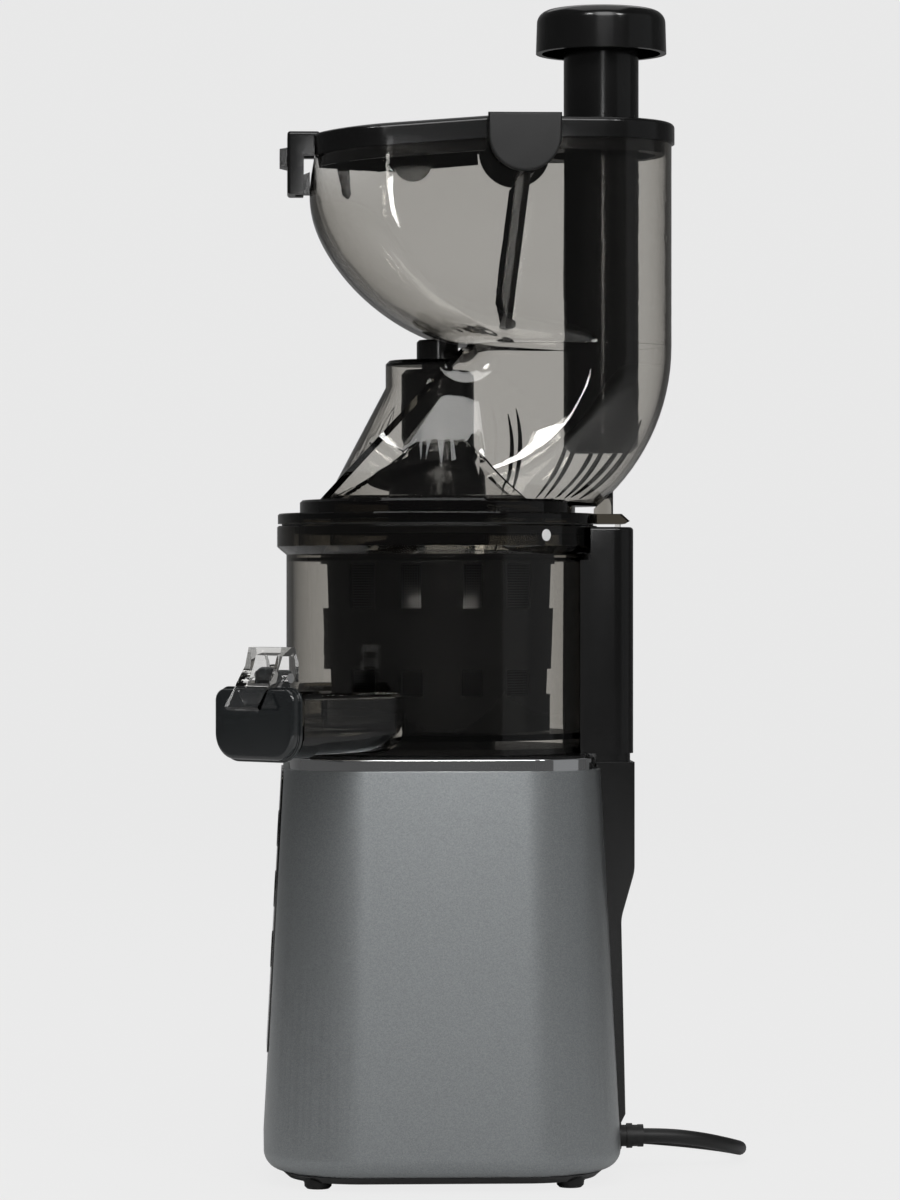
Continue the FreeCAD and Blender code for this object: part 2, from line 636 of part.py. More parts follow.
def make_base_plate():
    """The black plate under the housing, four rubber feet in sockets and four screws."""
    flush = "housing_foot_z - fix_gap"
    shell_foot = "housing_foot_half - housing_foot_edge"
    plate = tapered(
        "plate_lower",
        rounded_square(f"{shell_foot} - 3", "opening_round"), "base_plate_z",
        rounded_square(shell_foot, "opening_round + 1"), flush,
    )
    raised = slab("plate_raised", rounded_square("foot_opening_half - fix_gap", "opening_round - fix_gap"),
                  "base_plate_z + 1", "housing_foot_z - base_plate_z + base_plate_boss - 1")
    parts = [plate, raised]
    holes = []
    for index, (across, along) in enumerate(((1, 1), (-1, 1), (-1, -1), (1, -1))):
        x = f"{across} * foot_place"
        y = f"housing_centre_y + {along} * foot_place"
        holes.append(cylinder(f"foot_socket_{index}", "foot_radius + fix_gap", "foot_sink + 1", x, y,
                              "base_plate_z - 1"))
        x = f"{across} * screw_place"
        y = f"housing_centre_y + {along} * screw_place"
        parts.append(cylinder(f"screw_boss_{index}", "screw_boss_radius", "screw_length", x, y, "base_plate_z + 1"))
        holes.append(cylinder(f"screw_hole_{index}", "screw_radius + fix_gap", "screw_length + 4", x, y,
                              "base_plate_z - 1"))
        holes.append(cylinder(f"screw_sink_{index}", "screw_head_radius + fix_gap", "3.6", x, y,
                              "base_plate_z - 1"))
    node(cut("base_plate", fuse("plate_solid", *parts), *holes), "base_plate")
    feet = []
    screws = []
    for index, (across, along) in enumerate(((1, 1), (-1, 1), (-1, -1), (1, -1))):
        foot = lathe(f"foot_{index}", (
            ("0", "0"), ("foot_radius - 1.5", "0"), ("foot_radius - 0.5", "1"),
            ("foot_radius - 0.3", "base_plate_z"), ("foot_radius", "base_plate_z"),
            ("foot_radius", "base_plate_z + foot_sink - fix_gap"), ("0", "base_plate_z + foot_sink - fix_gap"),
        ))
        bind(foot, x=f"{across} * foot_place", y=f"housing_centre_y + {along} * foot_place")
        feet.append(foot)
        screw = lathe(f"screw_{index}", (
            ("0", "0"), ("screw_head_radius", "0"), ("screw_head_radius", "2"), ("screw_radius", "2.2"),
            ("screw_radius", "screw_length - 2"), ("0", "screw_length"),
        ))
        bind(screw, x=f"{across} * screw_place", y=f"housing_centre_y + {along} * screw_place",
             z="base_plate_z + 0.2")
        screws.append(screw)
    node(compound("feet", feet), "rubber_feet")
    node(compound("screws", screws), "base_screws")


def compound(name, items):
    """Separate solids that share one node."""
    item = doc.addObject("Part::Compound", name)
    item.Links = list(items)
    return item


def make_rear():
    """The lower spine on the back of the housing, and the column that stands behind the drum."""
    half = slope("housing_foot_half", "housing_top_half", "spine_foot_z")
    foot_front = f"housing_centre_y + {half} + fix_gap"
    top_front = "housing_centre_y + housing_top_half + fix_gap"
    body = doc.addObject("PartDesign::Body", "spine_body")
    sketch = outline(body, (
        ("spine_front_y", "spine_top_z"), ("spine_front_y", "housing_top_z + fix_gap"),
        (top_front, "housing_top_z + fix_gap"), (foot_front, "spine_foot_z"),
        ("spine_foot_y - 2", "spine_foot_z"), ("spine_foot_y", "spine_foot_z + 4"),
        ("spine_step_y", "spine_step_z"), ("column_back_y", "spine_bend_z"),
        ("column_back_y", "spine_top_z"),
    ), "YZ_Plane")
    pad = body.newObject("PartDesign::Pad", "spine_pad")
    pad.Profile = sketch
    pad.Midplane = True
    pad.setExpression("Length", linked("2 * column_half"))
    back = s.spine_step_y - 1.0
    bend = (s.spine_step_z, s.spine_bend_z)

    def step_edge(edge):
        """The two level edges where the rear face steps in."""
        low = edge.BoundBox.ZMin
        level = edge.BoundBox.ZMax - low < 0.01
        return level and edge.BoundBox.YMin > back and min(abs(low - z) for z in bend) < 0.01

    dress(body, "Fillet", "(column_back_y - spine_step_y) * 3.2", step_edge)
    behind = s.spine_foot_y - 2.5

    def rear_edge(edge):
        """The long edges down both sides of the rear face."""
        return edge.BoundBox.YMin > behind and edge.BoundBox.ZMax - edge.BoundBox.ZMin > 3.0

    dress(body, "Fillet", "1.2", rear_edge)
    node(body, "rear_spine")
    block = slab("column_block", (
        ("column_half", "drum_radius * 0.8"), ("column_half", "column_back_y - column_round"),
        ("column_half - column_round", "column_back_y", "column_round"),
        ("column_round - column_half", "column_back_y"),
        ("-column_half", "column_back_y - column_round", "column_round"), ("-column_half", "drum_radius * 0.8"),
    ), "deck_top_z + 0.2", "column_top_z - deck_top_z - 0.2")
    top = s.column_top_z
    rear = s.drum_radius + 6
    dress(block, "Fillet", "1.5",
          lambda edge: abs(edge.BoundBox.ZMin - top) < 0.01 and edge.BoundBox.YMax > rear)
    neck_half = "column_half - column_neck"
    neck = slab("column_neck_block", (
        (neck_half, "spine_front_y + fix_gap"), (neck_half, "column_back_y - column_neck - column_round"),
        (f"{neck_half} - column_round", "column_back_y - column_neck", "column_round"),
        (f"column_round - ({neck_half})", "column_back_y - column_neck"),
        (f"-({neck_half})", "column_back_y - column_neck - column_round", "column_round"),
        (f"-({neck_half})", "spine_front_y + fix_gap"),
    ), "spine_top_z", "deck_top_z - spine_top_z + 1")
    wall = cylinder("column_hollow", "drum_radius + drum_room", "column_top_z", z="deck_top_z - 1")
    rim = cylinder("column_rim_hollow", "rim_radius + drum_room", "column_top_z", z="rim_low_z - 5")
    track = feature("pin_track", pin_track())
    front = "rim_radius + drum_room + 2.5"
    room = box("switch_room", "-8", "8", front, "column_back_y - 2.5", "column_top_z - 30", "column_top_z - 6")
    well = cylinder("plunger_hole", "1.5 + seat_gap", "8", y="pin_track_radius", z="column_top_z - 8")
    node(cut("column", fuse("column_solid", block, neck), wall, rim, track, room, well), "rear_column")
    switch = box("switch_block", "fix_gap - 8", "8 - fix_gap", f"{front} + fix_gap",
                 "column_back_y - 2.5 - fix_gap", "column_top_z - 30", "column_top_z - 12")
    plunger = cylinder("switch_plunger", "1.5", "12 - pin_track_depth - seat_gap", y="pin_track_radius",
                       z="column_top_z - 12")
    node(fuse("switch", switch, plunger), "interlock_switch")


def pin_track():
    """The arc slot in the column's top that lets the lug's pin in as the lid turns."""
    room = s.pin_radius + s.seat_gap
    low = s.column_top_z - s.pin_track_depth
    outer = Part.makeCylinder(s.pin_track_radius + room, s.pin_track_depth + 1, Vector(0, 0, low), UP, 60)
    inner = Part.makeCylinder(s.pin_track_radius - room, s.pin_track_depth + 2, Vector(0, 0, low - 0.5), UP, 62)
    ring = outer.cut(inner)
    ring.rotate(Vector(), UP, 90)
    end = Part.makeCylinder(room, s.pin_track_depth + 1, Vector(0, s.pin_track_radius, low))
    return ring.fuse(end).removeSplitter()


def make_panel():
    """The thin front panel with three flush push buttons, on the sloping front face."""
    mid = (s.housing_top_z + s.panel_low_z) / 2
    share = (mid - s.housing_foot_z) / (s.housing_top_z - s.housing_foot_z)
    half = s.housing_foot_half + (s.housing_top_half - s.housing_foot_half) * share
    lean = math.degrees(math.atan2(s.housing_foot_half - s.housing_top_half, s.housing_top_z - s.housing_foot_z))
    height = (s.housing_top_z - s.panel_low_z - 1) / math.cos(math.radians(lean))
    face_y = s.housing_centre_y - half
    corner = 6.0
    across = s.panel_half - corner
    along = height / 2 - corner
    wire = belt([(across, -along, corner), (across, along, corner), (-across, along, corner),
                 (-across, -along, corner)], 0)
    plate = block_of(wire, 0.0, s.panel_thick)
    around = belt([(across, -along, corner + s.fix_gap), (across, along, corner + s.fix_gap),
                   (-across, along, corner + s.fix_gap), (-across, -along, corner + s.fix_gap)], 0)
    pocket = block_of(around, -s.fix_gap, s.panel_thick + 4)
    places = []
    for index in range(3):
        up = (s.button_mid_z - mid + (index - 1) * s.button_pitch) / math.cos(math.radians(lean))
        places.append(up)
        plate = plate.cut(Part.makeCylinder(s.button_radius + s.seat_gap, s.panel_thick + 2, Vector(0, up, -1)))
    frame = FreeCAD.Placement(Vector(0, face_y + s.panel_thick - s.panel_proud, mid),
                              Rotation(ALONG_X, 90 - lean))
    panel = feature("panel_plate", plate)
    panel.Placement = frame
    node(panel, "front_panel")
    for name, up in zip(("reverse_button", "stop_button", "start_button"), places):
        top = s.panel_thick + s.button_proud
        button = Part.makeCylinder(s.button_radius, s.button_length, Vector(0, up, top - s.button_length))
        button = button.makeFillet(0.6, [edge for edge in button.Edges if edge.BoundBox.ZMin > top - 0.01])
        item = feature(name + "_solid", button)
        item.Placement = frame
        node(item, name)
    recess = pocket.copy()
    for up in places:
        recess = recess.fuse(Part.makeCylinder(s.button_radius + 1, 20, Vector(0, up, -15)))
    tool = feature("panel_recess", recess)
    tool.Placement = frame
    return tool


def make_drive():
    """Motor, fan, two reduction stages and the drive shaft, all on or beside the Z axis."""
    can = lathe("motor_shell", (
        ("rotor_shaft_radius + 4", "motor_low_z"), ("motor_radius", "motor_low_z"),
        ("motor_radius", "motor_top_z"), ("rotor_shaft_radius + 4", "motor_top_z"),
        ("rotor_shaft_radius + 4", "motor_top_z - 3"), ("motor_radius - motor_wall", "motor_top_z - 3"),
        ("motor_radius - motor_wall", "motor_low_z + 3"), ("rotor_shaft_radius + 4", "motor_low_z + 3"),
    ))
    node(can, "motor_can")
    low_wheel = "motor_top_z + case_wall + 2"
    rotor = lathe("rotor_solid", (
        ("0", "motor_low_z - fan_height - 4"), ("rotor_shaft_radius", "motor_low_z - fan_height - 4"),
        ("rotor_shaft_radius", "motor_low_z + 12"), ("rotor_radius", "motor_low_z + 12"),
        ("rotor_radius", "motor_top_z - 14"), ("rotor_shaft_radius", "motor_top_z - 14"),
        ("rotor_shaft_radius", f"{low_wheel} + gear_face"), ("0", f"{low_wheel} + gear_face"),
    ))
    node(rotor, "motor_rotor")
    fan_low = s.motor_low_z - s.fan_height - 2
    hub = Part.makeCylinder(9, s.fan_height, Vector(0, 0, fan_low))
    hub = hub.fuse(Part.makeCylinder(s.fan_radius, 1.4, Vector(0, 0, fan_low)))
    for index in range(8):
        blade = Part.makeBox(s.fan_radius - 8, 1.6, s.fan_height, Vector(7, -0.8, fan_low))
        blade.rotate(Vector(), UP, index * FULL / 8)
        hub = hub.fuse(blade)
    bore = Part.makeCylinder(s.rotor_shaft_radius + s.fix_gap / 5, s.fan_height + 2, Vector(0, 0, fan_low - 1))
    node(feature("fan", hub.cut(bore).removeSplitter()), "cooling_fan")
    apart = (s.pinion_teeth + s.wheel_teeth) * s.gear_module / 2
    low = s.motor_top_z + s.case_wall + 2
    high = low + s.gear_face + 2
    step = FULL / s.pinion_teeth
    pinion = gear(s.pinion_teeth, s.gear_module, low, s.gear_face, s.rotor_shaft_radius + s.fix_gap / 5,
                  90.0 + step / 2)
    node(feature("pinion", pinion), "motor_pinion")
    wheel = gear(s.wheel_teeth, s.gear_module, low + 0.5, s.gear_face, s.axle_radius + s.run_gap, -90.0)
    small = gear(s.pinion_teeth, s.gear_module, low + 0.5 + s.gear_face - 0.5, s.gear_face + 2,
                 s.axle_radius + s.run_gap, -90.0 + step / 2)
    double = wheel.fuse(small).removeSplitter()
    double.translate(Vector(0, apart, 0))
    node(feature("reduction", double), "reduction_gear")
    axle = cylinder("axle", "axle_radius", f"{2 * s.gear_face + 9}", y=f"{apart}", z=f"{low - 2 - s.case_wall / 2}")
    node(axle, "gear_axle")
    big = gear(s.wheel_teeth, s.gear_module, high, s.gear_face, s.drive_radius + s.fix_gap / 5, 90.0)
    node(feature("drive_wheel", big), "drive_gear")
    make_gearbox(low, high, apart)
    shaft_low = high - 0.5
    round_top = s.hub_top_z + 1.5
    shaft = Part.makeCylinder(s.drive_radius, round_top - shaft_low, Vector(0, 0, shaft_low))
    flat = Part.makePolygon([Vector(s.drive_flat / math.sqrt(3) * math.cos(math.radians(60 * k)),
                                    s.drive_flat / math.sqrt(3) * math.sin(math.radians(60 * k)), 0)
                             for k in range(7)])
    drive_end = Part.Face(flat).extrude(UP * (s.drive_top_z - round_top + 0.5))
    drive_end.translate(Vector(0, 0, round_top - 0.5))
    node(feature("shaft", shaft.fuse(drive_end).removeSplitter()), "drive_shaft")
    seal = lathe("seal", (
        ("drive_radius + 0.3", "hub_top_z - 4"), ("bearing_radius", "hub_top_z - 4"),
        ("bearing_radius", "hub_top_z - 0.5"), ("drive_radius + 2", "hub_top_z - 0.5"),
        ("drive_radius + 0.3", "hub_top_z - 2"),
    ))
    node(seal, "shaft_seal")


def make_gearbox(low, high, apart):
    """The gearbox case: floor on the motor, wall round both wheels, roof with the output bearing."""
    reach = s.wheel_teeth * s.gear_module / 2 + 3
    floor_low = s.motor_top_z + s.fix_gap
    roof = high + s.gear_face + 2
    circles = [(0, 0, reach), (0, apart, reach)]
    flipped = [(0, apart, reach + s.case_wall), (0, 0, reach + s.case_wall)]
    case = block_of(belt(flipped, 0), floor_low, roof + s.case_wall)
    room = block_of(belt(circles, 0), floor_low + s.case_wall, roof)
    neck = Part.makeCylinder(s.bearing_radius + 4, s.ring_seat_z - s.deck_flange - roof, Vector(0, 0, roof))
    shaft_room = Part.makeCylinder(s.drive_radius + 1, 200, Vector(0, 0, roof - 1))
    motor_room = Part.makeCylinder(s.rotor_shaft_radius + 1, 12, Vector(0, 0, floor_low - 4))
    seat_low = s.ring_seat_z - s.deck_flange - s.bearing_height
    seat = Part.makeCylinder(s.bearing_radius + s.fix_gap, 200, Vector(0, 0, seat_low))
    axle_hole = Part.makeCylinder(s.axle_radius + s.fix_gap / 5, 200, Vector(0, apart, low - 2 - s.case_wall / 2))
    axle_top = Part.makeBox(200, 200, 200, Vector(-100, -100, low + 2 * s.gear_face + 7))
    axle_hole = axle_hole.cut(axle_top)
    solid = case.cut(room).fuse(neck).cut(shaft_room).cut(motor_room).cut(seat).cut(axle_hole)
    node(feature("gearbox", solid.removeSplitter()), "gearbox_case")
    race = Part.makeCylinder(s.bearing_radius, s.bearing_height, Vector(0, 0, seat_low))
    race = race.cut(Part.makeCylinder(s.drive_radius + s.run_gap, 20, Vector(0, 0, seat_low - 5)))
    node(feature("bearing", race), "output_bearing")
    board = box("board", "-30", "30", "housing_centre_y - 61", "housing_centre_y - 59", "34", "96")
    chip = box("board_parts", "-18", "14", "housing_centre_y - 59", "housing_centre_y - 51", "46", "70")
    stand = box("board_stand", "-30", "30", "housing_centre_y - 62", "housing_centre_y - 56",
                "base_plate_z + 7", "34")
    node(fuse("board_solid", board, chip, stand), "control_board")


def spout_profile(grow, low, top):
    """The spout's section in (across, up), wider and taller by grow on every side."""
    half = s.spout_width / 2 + grow
    low_round = max(s.spout_low_round + grow, 1.0)
    top_round = max(s.spout_top_round + grow, 0.6)
    middle = s.spout_offset
    wire = belt([
        (middle + half - low_round, low - grow + low_round, low_round),
        (middle + half - top_round, top + grow - top_round, top_round),
        (middle - half + top_round, top + grow - top_round, top_round),
        (middle - half + low_round, low - grow + low_round, low_round),
    ], 0)
    return Part.Face(wire)


def along_spout(profile, start, end):
    """A section carried along the spout, in the spout's own frame: X runs outwards."""
    solid = profile.extrude(UP * (end - start))
    solid.rotate(Vector(), Vector(1, 1, 1), 120)
    solid.translate(Vector(start, 0, 0))
    return solid


def aimed(shape, far=False):
    """A shape of the spout's frame, turned to the juice side, or mirrored to the pulp side."""
    if far:
        shape = shape.mirror(Vector(), ALONG_Y)
        shape.rotate(Vector(), UP, -180 + s.spout_angle)
    else:
        shape.rotate(Vector(), UP, -s.spout_angle)
    return shape


def spout_pair():
    """Both spouts as solids and both channels that are cut through them and the drum wall."""
    solids = []
    channels = []
    inner_start = math.sqrt((s.drum_radius - s.drum_wall) ** 2 - (s.spout_offset + s.spout_width / 2) ** 2) - 3
    outer_start = math.sqrt(s.drum_radius ** 2 - (s.spout_offset + s.spout_width / 2) ** 2) - 2
    for far, reach in ((False, s.juice_reach), (True, s.pulp_reach)):
        body = along_spout(spout_profile(0, s.spout_low_z, s.spout_top_z), outer_start, reach)
        collar = along_spout(spout_profile(s.spout_collar, s.spout_low_z, s.spout_top_z),
                             reach - s.spout_collar_length, reach)
        inside = along_spout(spout_profile(-s.spout_wall, s.drum_floor_z - s.spout_wall, s.spout_top_z),
                             inner_start, reach + 5)
        solids.append(aimed(body.fuse(collar), far))
        channels.append(aimed(inside, far))
    return solids, channels


def make_drum():
    """The clear drum with its rim, floor and two spouts, and the black plate under its floor."""
    inner = "drum_radius - drum_wall"
    skirt = "drum_radius - 0.3"
    wall = lathe("drum_turned", (
        ("drum_hole", "drum_floor_z - drum_floor"), (f"{inner} - 0.3", "drum_floor_z - drum_floor"),
        (f"{inner} - 0.3", "drum_low_z"), (skirt, "drum_low_z"), (skirt, "drum_line_z"),
        ("drum_radius", "drum_line_z"), ("drum_radius", "rim_low_z - 2.5"),
        ("rim_radius - 1", "rim_low_z"), ("rim_radius", "rim_low_z + 1"), ("rim_radius", "drum_top_z - 0.6"),
        ("rim_radius - 0.6", "drum_top_z"), (inner, "drum_top_z"), (inner, "strainer_top_z - 3.3"),
        (f"{inner} - 1.4", "strainer_top_z - 3.3"), (f"{inner} - 1.4", "strainer_top_z - 5"),
        (inner, "strainer_top_z - 6.4"), (inner, "drum_floor_z"), ("drum_hole", "drum_floor_z"),
    ))
    doc.recompute()
    solids, channels = spout_pair()
    apart = (s.auger_teeth + s.idler_teeth) * s.brush_module / 2
    post = Part.makeCylinder(s.idler_pin_radius, s.brush_face + 2.2, Vector(0, apart, s.drum_floor_z - 1))
    room = Part.makeCylinder(s.drum_radius - s.drum_wall, 80, Vector(0, 0, s.drum_floor_z))
    under = Part.makeCylinder(s.drum_radius - s.drum_wall - 0.3, s.drum_floor_z - s.drum_floor - s.drum_low_z + 1,
                              Vector(0, 0, s.drum_low_z - 1))
    shape = wall.Shape.copy()
    for solid in solids:
        shape = shape.fuse(solid.cut(room).cut(under))
    for channel in channels:
        shape = shape.cut(channel)
    shape = shape.fuse(post).removeSplitter()
    node(feature("drum_solid", shape), "drum")
    floor = lathe("floor_turned", (
        ("hub_radius + seat_gap", "drum_low_z"), (f"{inner} - 0.3 - fix_gap", "drum_low_z"),
        (f"{inner} - 0.3 - fix_gap", "drum_low_z + 2.5"), ("hub_radius + 6", "drum_low_z + 2.5"),
        ("hub_radius + 6", "drum_floor_z - drum_floor - fix_gap"),
        ("hub_radius + seat_gap", "drum_floor_z - drum_floor - fix_gap"),
    ))
    node(floor, "drum_base")
    seal = lathe("drum_seal_turned", (
        ("auger_hub + run_gap", "drum_floor_z - drum_floor"), ("drum_hole - fix_gap", "drum_floor_z - drum_floor"),
        ("drum_hole - fix_gap", "drum_floor_z + 0.4"), ("auger_hub + 3", "drum_floor_z + 0.4"),
        ("auger_hub + 1.4", "drum_floor_z + 1.2"), ("auger_hub + run_gap", "drum_floor_z + 1.2"),
    ))
    node(seal, "drum_seal")


def make_cap():
    """The hinged juice cap: a door with its seal, a clear lever, its pin and the bracket on the spout."""
    gap = s.fix_gap
    start = s.juice_reach + s.seat_gap
    seal = along_spout(spout_profile(0.2, s.spout_low_z, s.spout_top_z), start, start + s.cap_seal_thick)
    node(feature("cap_seal_solid", aimed(seal)), "cap_seal")
    door_start = start + s.cap_seal_thick + gap
    door_end = door_start + s.cap_thick
    door = along_spout(spout_profile(s.spout_collar + 0.6, s.spout_low_z, s.spout_top_z), door_start, door_end)
    lip = along_spout(spout_profile(s.spout_collar + 1.6, s.spout_low_z, s.spout_top_z), door_start, door_start + 1.4)
    outer = [edge for edge in door.Edges if edge.BoundBox.XMin > door_end - 0.01]
    door = door.makeFillet(min(1.8, s.cap_thick / 3), outer).fuse(lip)
    node(feature("cap_door_solid", aimed(door)), "cap_door")
    along, up = s.cap_hinge_reach, s.cap_hinge_z
    half = s.cap_lever_width / 2
    inner_half = half - s.cap_ear
    top_edge = s.spout_top_z + s.spout_collar + 0.6 + gap - up
    front = door_end + gap - along
    ear_line = ((-4.5, -1.5), (4.0, -1.5), (6.0, top_edge + 0.9), (front, top_edge + 0.9),
                (front + 5.4, top_edge - 8.8), (front + 6.9, top_edge - 7.2), (7.5, 5.0), (5.5, 12.7),
                (-2.5, 12.7), (-4.5, 6.0))
    middle_line = ((7.0, top_edge + 0.9), (front, top_edge + 0.9), (front + 5.4, top_edge - 8.8),
                   (front + 6.9, top_edge - 7.2), (7.5, 5.0), (5.5, 12.7), (-2.5, 12.7), (-3.6, 9.0),
                   (3.0, 9.0), (5.0, 4.2))

    def plate(points, low, high):
        """A side outline in (along, up) from the hinge, carried across the spout."""
        corners = [Vector(along + a, s.spout_offset + low, up + z) for a, z in points]
        return Part.Face(Part.makePolygon(corners + corners[:1])).extrude(ALONG_Y * (high - low))

    lever = plate(ear_line, -half, -inner_half).fuse(plate(ear_line, inner_half, half))
    lever = lever.fuse(plate(middle_line, -inner_half, inner_half)).removeSplitter()
    hole = Part.makeCylinder(s.cap_pin_radius + gap / 5, 60, Vector(along, s.spout_offset - 30, up), ALONG_Y)
    node(feature("cap_lever_solid", aimed(lever.cut(hole))), "cap_lever")
    pin = Part.makeCylinder(s.cap_pin_radius, 2 * half, Vector(along, s.spout_offset - half, up), ALONG_Y)
    node(feature("cap_pin_solid", aimed(pin)), "cap_pin")
    low = s.spout_top_z + gap - up
    width = inner_half - s.seat_gap
    bracket = plate(((-3.4, low), (3.4, low), (3.4, 0), (-3.4, 0)), -width, width)
    barrel = Part.makeCylinder(3.4, 2 * width, Vector(along, s.spout_offset - width, up), ALONG_Y)
    bore = Part.makeCylinder(s.cap_pin_radius + s.run_gap, 60, Vector(along, s.spout_offset - 30, up), ALONG_Y)
    bracket = bracket.fuse(barrel).removeSplitter().cut(bore)
    bracket = bracket.cut(along_spout(spout_profile(s.spout_collar + gap, s.spout_low_z, s.spout_top_z),
                                      along - 20, along + 20))
    node(feature("cap_bracket_solid", aimed(bracket)), "cap_bracket")


def windows(turn):
    """Blocks that cut both rows of windows through a frame."""
    tools = []
    for index in range(int(s.window_count)):
        for low, height in ((s.upper_window_z, s.upper_window), (s.lower_window_z, s.lower_window)):
            block = Part.makeBox(30, s.window_width, height, Vector(35, -s.window_width / 2, low))
            block.rotate(Vector(), UP, turn + index * FULL / s.window_count)
            tools.append(block)
    return tools


def make_strainer():
    """The strainer basket with its steel mesh, and the turning brush frame round it."""
    bore = "strainer_bore + mesh_thick + fix_gap"
    outer = f"{bore} + strainer_wall"
    seat = "drum_radius - drum_wall - seat_gap"
    basket = lathe("basket_turned", (
        ("strainer_hole", "strainer_low_z"), (outer, "strainer_low_z"), (outer, "strainer_top_z - 3"),
        (seat, "strainer_top_z - 3"), (seat, "strainer_top_z"), (bore, "strainer_top_z"),
        (bore, "strainer_low_z + 2.4"), ("strainer_hole", "strainer_low_z + 2.4"),
    ))
    mesh = lathe("mesh_turned", (
        ("strainer_bore", "strainer_low_z + 2.4 + fix_gap"),
        ("strainer_bore + mesh_thick", "strainer_low_z + 2.4 + fix_gap"),
        ("strainer_bore + mesh_thick", "strainer_top_z - 3"), ("strainer_bore", "strainer_top_z - 3"),
    ))
    node(mesh, "strainer_mesh")
    brush = lathe("brush_turned", (
        ("ring_teeth * brush_module / 2 + 3.4", "brush_low_z"), ("brush_low_radius", "brush_low_z"),
        ("brush_low_radius", "lower_window_z - 3"), ("brush_top_radius", "upper_window_z + upper_window + 1"),
        ("brush_top_radius", "brush_top_z"), ("brush_top_radius - brush_wall", "brush_top_z"),
        ("brush_top_radius - brush_wall", "upper_window_z + upper_window + 1"),
        ("brush_low_radius - brush_wall", "lower_window_z - 3"),
        ("brush_low_radius - brush_wall", "brush_low_z + brush_face + 0.5"),
        ("ring_teeth * brush_module / 2 + 3.4", "brush_low_z + brush_face + 0.5"),
    ))
    doc.recompute()
    frame = basket.Shape.copy()
    carrier = brush.Shape.copy()
    share = FULL / s.window_count
    for tool in windows(share / 2):
        carrier = carrier.cut(tool)
    for tool in windows(0.0):
        frame = frame.cut(tool)
    teeth = gear(s.ring_teeth, s.brush_module, s.brush_low_z + 0.2, s.brush_face, 0, 90.0,
                 s.ring_teeth * s.brush_module / 2 + 3.6)
    node(feature("strainer_solid", frame), "strainer_frame")
    node(feature("brush_solid", carrier.fuse(teeth).removeSplitter()), "brush_frame")
    inside = s.strainer_bore + s.mesh_thick + s.fix_gap + s.strainer_wall + s.seat_gap
    wipers = []
    for index in range(int(s.window_count)):
        foot = s.brush_low_radius - s.brush_wall - s.fix_gap / 2
        blade = Part.makeBox(foot - inside, s.wiper_thick, s.brush_top_z - s.lower_window_z,
                             Vector(inside, -s.wiper_thick / 2, s.lower_window_z - 2))
        blade.rotate(Vector(), UP, index * share)
        wipers.append(blade)
    node(feature("wipers", Part.makeCompound(wipers)), "brush_wipers")
    apart = (s.auger_teeth + s.idler_teeth) * s.brush_module / 2
    idler = gear(s.idler_teeth, s.brush_module, s.brush_low_z, s.brush_face, s.idler_pin_radius + s.run_gap,
                 -90.0 + FULL / s.idler_teeth / 2)
    idler.translate(Vector(0, apart, 0))
    node(feature("idler", idler), "brush_pinion")


def helical_flight(inner, outer):
    """A tapered screw flight, ruled between four helices and closed by its two ends."""
    root, edge = s.flight_thick / 2, s.flight_thick / 4
    lines = []
    for radius, lift in ((inner, -root), (outer, -edge), (outer, edge), (inner, root)):
        line = Part.makeLongHelix(s.flight_pitch, s.flight_pitch * s.flight_turns, radius)
        line.translate(Vector(0, 0, s.flight_low_z + lift))
        lines.append(line)
    faces = []
    for line, after in zip(lines, lines[1:] + lines[:1]):
        faces.extend(Part.makeRuledSurface(*pair) for pair in zip(line.Edges, after.Edges))
    starts = [line.Edges[0].valueAt(line.Edges[0].FirstParameter) for line in lines]
    ends = [line.Edges[-1].valueAt(line.Edges[-1].LastParameter) for line in lines]
    for corners in (starts, ends):
        faces.append(Part.Face(Part.makePolygon(corners + corners[:1])))
    shell = Part.makeShell(faces)
    shell.sewShape()
    return Part.makeSolid(shell)


